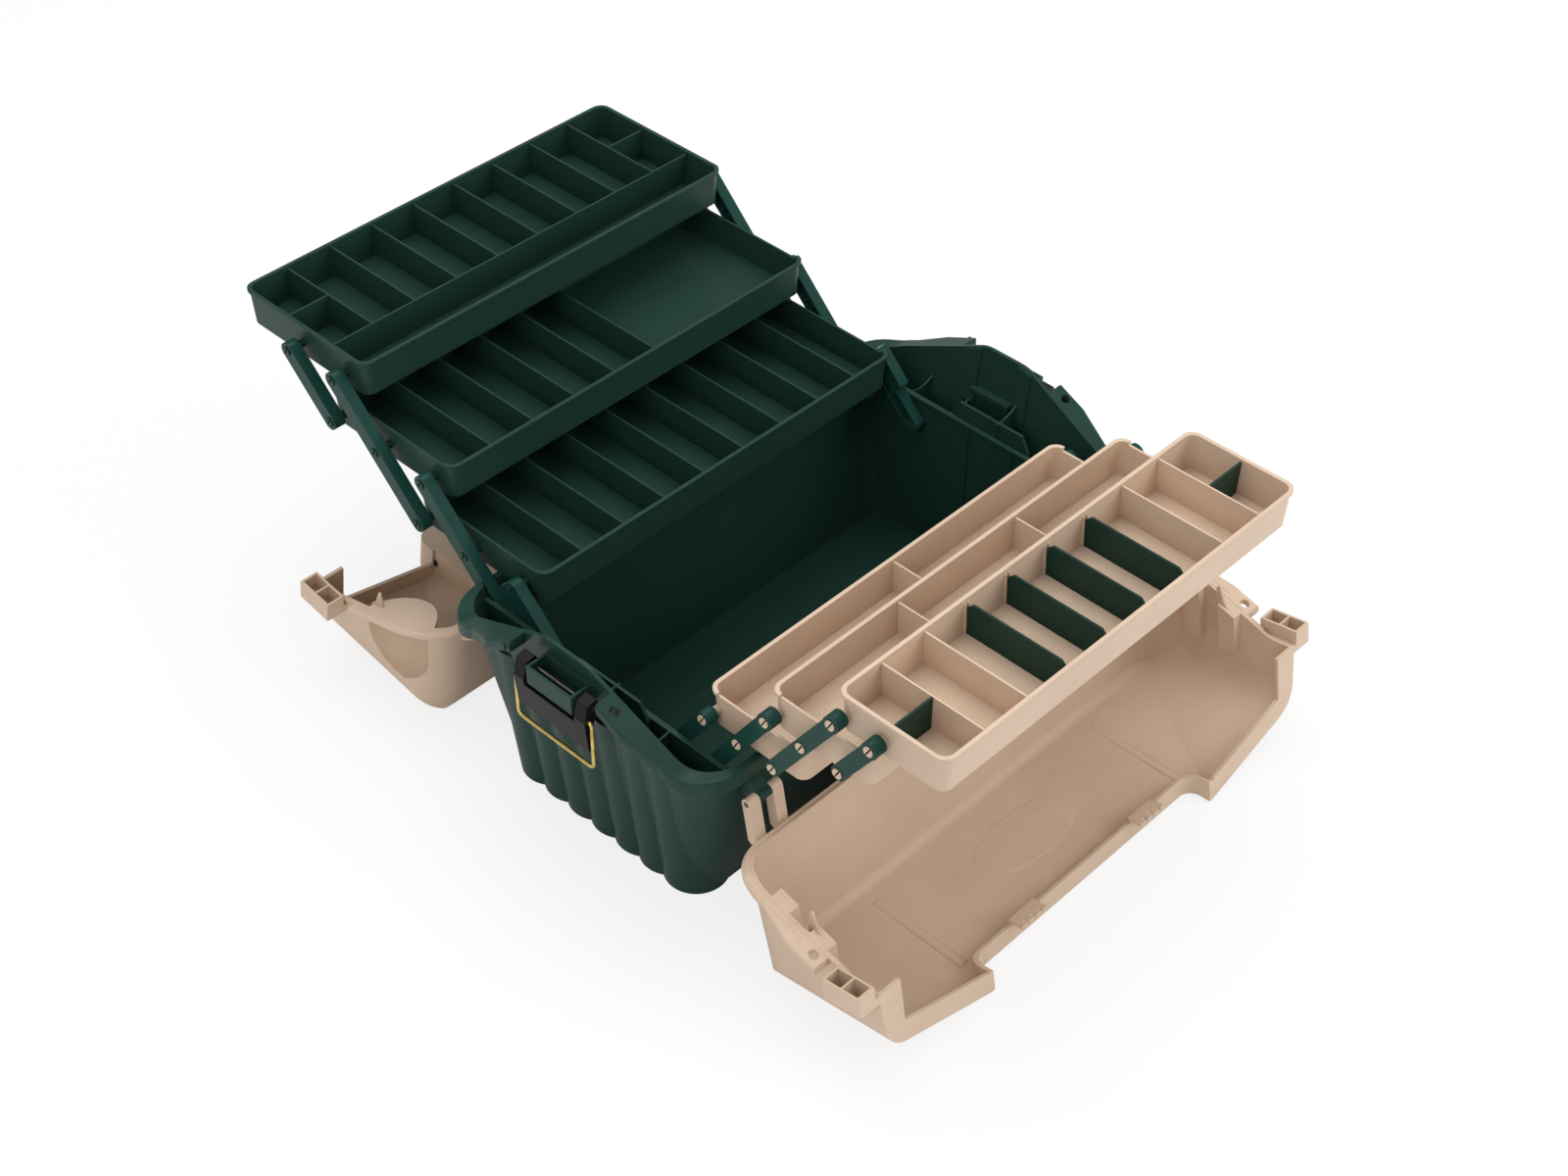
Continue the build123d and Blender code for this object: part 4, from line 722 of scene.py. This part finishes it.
class TACKLE_OT_tan_trays(TackleOperator, bpy.types.Operator):
    """Finish the three tan trays."""

    bl_idname = "tackle.tan_trays"
    bl_label = "Tan Trays"

    def execute(self, context):
        look = context.scene.tackle_plastic
        sizes = context.scene.tackle_mouldings
        plastic = moulded_plastic(
            "tray_tan", look.tan, look.tan_edge_and_scuff, look.tan_roughness, look.tan_gloss, scuffs=0.2
        )
        for level in ("low", "mid", "top"):
            node = f"front_{level}_tray"
            dress([node], plastic)
            made = Moulding()
            floor_ribs(made, *tray_floor(node, TAN_DEPTH), sizes, along_x=False)
            made.finish(f"{node}_floor_ribs", node, "tan_plastic", plastic)
        return {"FINISHED"}


class TACKLE_OT_green_trays(TackleOperator, bpy.types.Operator):
    """Finish the three green trays."""

    bl_idname = "tackle.green_trays"
    bl_label = "Green Trays"

    def execute(self, context):
        look = context.scene.tackle_plastic
        sizes = context.scene.tackle_mouldings
        plastic = moulded_plastic(
            "tray_green", look.green, look.green_edge_and_scuff, look.green_roughness, look.green_gloss, scuffs=0.4
        )
        dress(["back_low_tray", "back_mid_tray", "back_top_tray"], plastic)
        x0, x1, y0, _, z = tray_floor("back_top_tray", GREEN_DEPTH)
        made = Moulding()
        floor_ribs(made, x0, x1, y0, y0 + TROUGH_WIDTH, z, sizes, along_x=True)
        made.finish("back_top_tray_trough_ribs", "back_top_tray", "green_plastic", plastic)
        return {"FINISHED"}


class TACKLE_OT_dividers(TackleOperator, bpy.types.Operator):
    """Finish the lift-out dividers."""

    bl_idname = "tackle.dividers"
    bl_label = "Dividers"

    def execute(self, context):
        look = context.scene.tackle_plastic
        edge_and_scuff, satin = look.green_edge_and_scuff, look.green_roughness
        plastic = moulded_plastic(
            "divider_plastic", look.divider, edge_and_scuff, satin, look.green_gloss, scuffs=0.2
        )
        plates = [f"long_divider_{place}" for place in range(1, 5)]
        dress([*plates, "near_short_divider", "far_short_divider"], plastic)
        return {"FINISHED"}


class TACKLE_OT_links(TackleOperator, bpy.types.Operator):
    """Finish the sixteen links."""

    bl_idname = "tackle.links"
    bl_label = "Links"

    def execute(self, context):
        look = context.scene.tackle_plastic
        satin = look.green_roughness - LINK_SMOOTHNESS
        plastic = moulded_plastic(
            "link_plastic", look.link, look.green_edge_and_scuff, satin, look.green_gloss, scuffs=0.7
        )
        for side in ("front", "back"):
            for order in ORDERS:
                dress([f"{side}_{order}_link_{end}" for end in ENDS], plastic)
        return {"FINISHED"}


class TACKLE_OT_latches(TackleOperator, bpy.types.Operator):
    """Finish the black levers."""

    bl_idname = "tackle.latches"
    bl_label = "Latch Levers"

    def execute(self, context):
        look = context.scene.tackle_plastic
        # Lighter black for the scuffs, and for the lever's edges as wear and as a painted highlight
        edge_and_scuff = toned(look.lever, LEVER_EDGE_AND_SCUFF)
        plastic = moulded_plastic(
            "lever_black", look.lever, edge_and_scuff, look.green_roughness, look.lever_gloss, scuffs=0.5
        )
        dress(["near_latch", "far_latch"], plastic)
        return {"FINISHED"}


class TACKLE_OT_metal(TackleOperator, bpy.types.Operator):
    """Finish the wire bails and all the pins."""

    bl_idname = "tackle.metal"
    bl_label = "Bails and Pins"

    def execute(self, context):
        look = context.scene.tackle_metal
        dress(["near_bail", "far_bail"], plated_metal("bail_brass", look.wire, look.wire_roughness))
        pins = ["near_latch_pin", "far_latch_pin", "front_hinge_pins", "back_hinge_pins"]
        dress(pins, plated_metal("pin_metal", look.pin, look.pin_roughness))
        return {"FINISHED"}


def area_lamp(name, power, aim, place, size, mirrored=True):
    """A square softbox that faces a point."""
    data = bpy.data.lights.new(name, "AREA")
    data.energy = power
    data.size = size
    lamp = bpy.data.objects.new(name, data)
    bpy.context.scene.collection.objects.link(lamp)
    lamp.location = place
    lamp.rotation_mode = "QUATERNION"
    lamp.rotation_quaternion = (Vector(aim) - Vector(place)).to_track_quat("-Z", "Y")
    lamp.visible_camera = False
    lamp.visible_glossy = mirrored


class TACKLE_OT_stage(TackleOperator, bpy.types.Operator):
    """Lay the floor, hang the lamps and set the camera."""

    bl_idname = "tackle.stage"
    bl_label = "Stage"

    def execute(self, context):
        studio = context.scene.tackle_studio
        self.lay_floor(studio)
        self.hang_lamps(studio)
        self.set_sky(context.scene, studio)
        self.set_camera(context.scene, studio)
        context.scene.view_settings.view_transform = "Standard"
        return {"FINISHED"}

    def lay_floor(self, studio):
        """One large sheet at the height that the object stands on."""
        mesh = bpy.data.meshes.new("studio_floor")
        shape = bmesh.new()
        bmesh.ops.create_grid(shape, x_segments=8, y_segments=8, size=studio.floor_size)
        shape.to_mesh(mesh)
        shape.free()
        mesh.materials.append(studio_paper(studio.floor_colour, studio.floor_lift))
        floor = bpy.data.objects.new("studio_floor", mesh)
        bpy.context.scene.collection.objects.link(floor)
        floor.location.z = CAD_BOX[0].z - FLOOR_GAP

    def hang_lamps(self, studio):
        """Three large lamps round the object, all out of the picture."""
        middle = (CAD_BOX[0] + CAD_BOX[1]) / 2
        area_lamp("key_lamp", studio.key_power, middle, place=(-1.9, -0.7, 1.7), size=1.5)
        area_lamp(
            "fill_lamp", studio.fill_power, middle, place=(1.2, -2.0, 1.5), size=1.8, mirrored=False
        )
        area_lamp("top_lamp", studio.top_power, middle, place=(0.3, 0.6, 2.6), size=2.0)

    def set_sky(self, scene, studio):
        """Even light from all round, white where the camera looks past the floor."""
        scene.world = bpy.data.worlds.new("studio_sky")
        nodes = Nodes(scene.world)
        white = (1.0, 1.0, 1.0)
        dim = nodes.node("ShaderNodeBackground", None, {"Color": white, "Strength": studio.sky})
        bright = nodes.node("ShaderNodeBackground", None, {"Color": white, "Strength": 1.0})
        both = nodes.node("ShaderNodeMixShader", None, {"Fac": nodes.seen(), 1: dim, 2: bright})
        nodes.close("ShaderNodeOutputWorld", both)

    def set_camera(self, scene, studio):
        """The photograph's view: a level turn, a tilt down and a slight roll."""
        flat = Vector((math.cos(studio.turn), math.sin(studio.turn), 0))
        ahead = flat * math.cos(studio.tilt) - Vector((0, 0, math.sin(studio.tilt)))
        right = Vector((math.sin(studio.turn), -math.cos(studio.turn), 0))
        up = right.cross(ahead)
        turned_right = right * math.cos(studio.roll) + up * math.sin(studio.roll)
        turned_up = up * math.cos(studio.roll) - right * math.sin(studio.roll)
        data = bpy.data.cameras.new("photo_camera")
        data.sensor_fit = "HORIZONTAL"
        data.lens = studio.lens
        data.clip_start = 0.01
        data.clip_end = 100
        camera = bpy.data.objects.new("photo_camera", data)
        scene.collection.objects.link(camera)
        axes = Matrix((turned_right, turned_up, -ahead)).transposed()
        camera.matrix_world = Matrix.Translation(studio.eye) @ axes.to_4x4()
        scene.camera = camera


OPERATORS = (
    TACKLE_OT_tub,
    TACKLE_OT_lids,
    TACKLE_OT_handle,
    TACKLE_OT_tan_trays,
    TACKLE_OT_green_trays,
    TACKLE_OT_dividers,
    TACKLE_OT_links,
    TACKLE_OT_latches,
    TACKLE_OT_metal,
    TACKLE_OT_stage,
)
GROUPS = {
    "tackle_plastic": PlasticFinish,
    "tackle_mouldings": MouldingSizes,
    "tackle_metal": MetalFinish,
    "tackle_studio": Studio,
}


class TACKLE_PT_sidebar(bpy.types.Panel):
    """The operators and their values in the sidebar."""

    bl_idname = "TACKLE_PT_sidebar"
    bl_label = "Tackle Box"
    bl_space_type = "VIEW_3D"
    bl_region_type = "UI"
    bl_category = "Tackle Box"

    def draw(self, context):
        for operator in OPERATORS:
            self.layout.operator(operator.bl_idname)
        for attribute in GROUPS:
            group = getattr(context.scene, attribute)
            box = self.layout.box()
            for name in group.bl_rna.properties.keys():
                if name not in ("rna_type", "name"):
                    box.prop(group, name)


def register():
    """Registers every class and hangs the value groups on the scene."""
    for made in (*GROUPS.values(), *OPERATORS, TACKLE_PT_sidebar):
        bpy.utils.register_class(made)
    for attribute, group in GROUPS.items():
        setattr(bpy.types.Scene, attribute, PointerProperty(type=group))


def unregister():
    """Takes the value groups and classes away again."""
    for attribute in GROUPS:
        delattr(bpy.types.Scene, attribute)
    for made in reversed((*GROUPS.values(), *OPERATORS, TACKLE_PT_sidebar)):
        bpy.utils.unregister_class(made)


def main():
    """Builds the whole scene."""
    register()
    for operator in OPERATORS:
        family, name = operator.bl_idname.split(".")
        getattr(getattr(bpy.ops, family), name)()


if __name__ == "__main__":
    main()
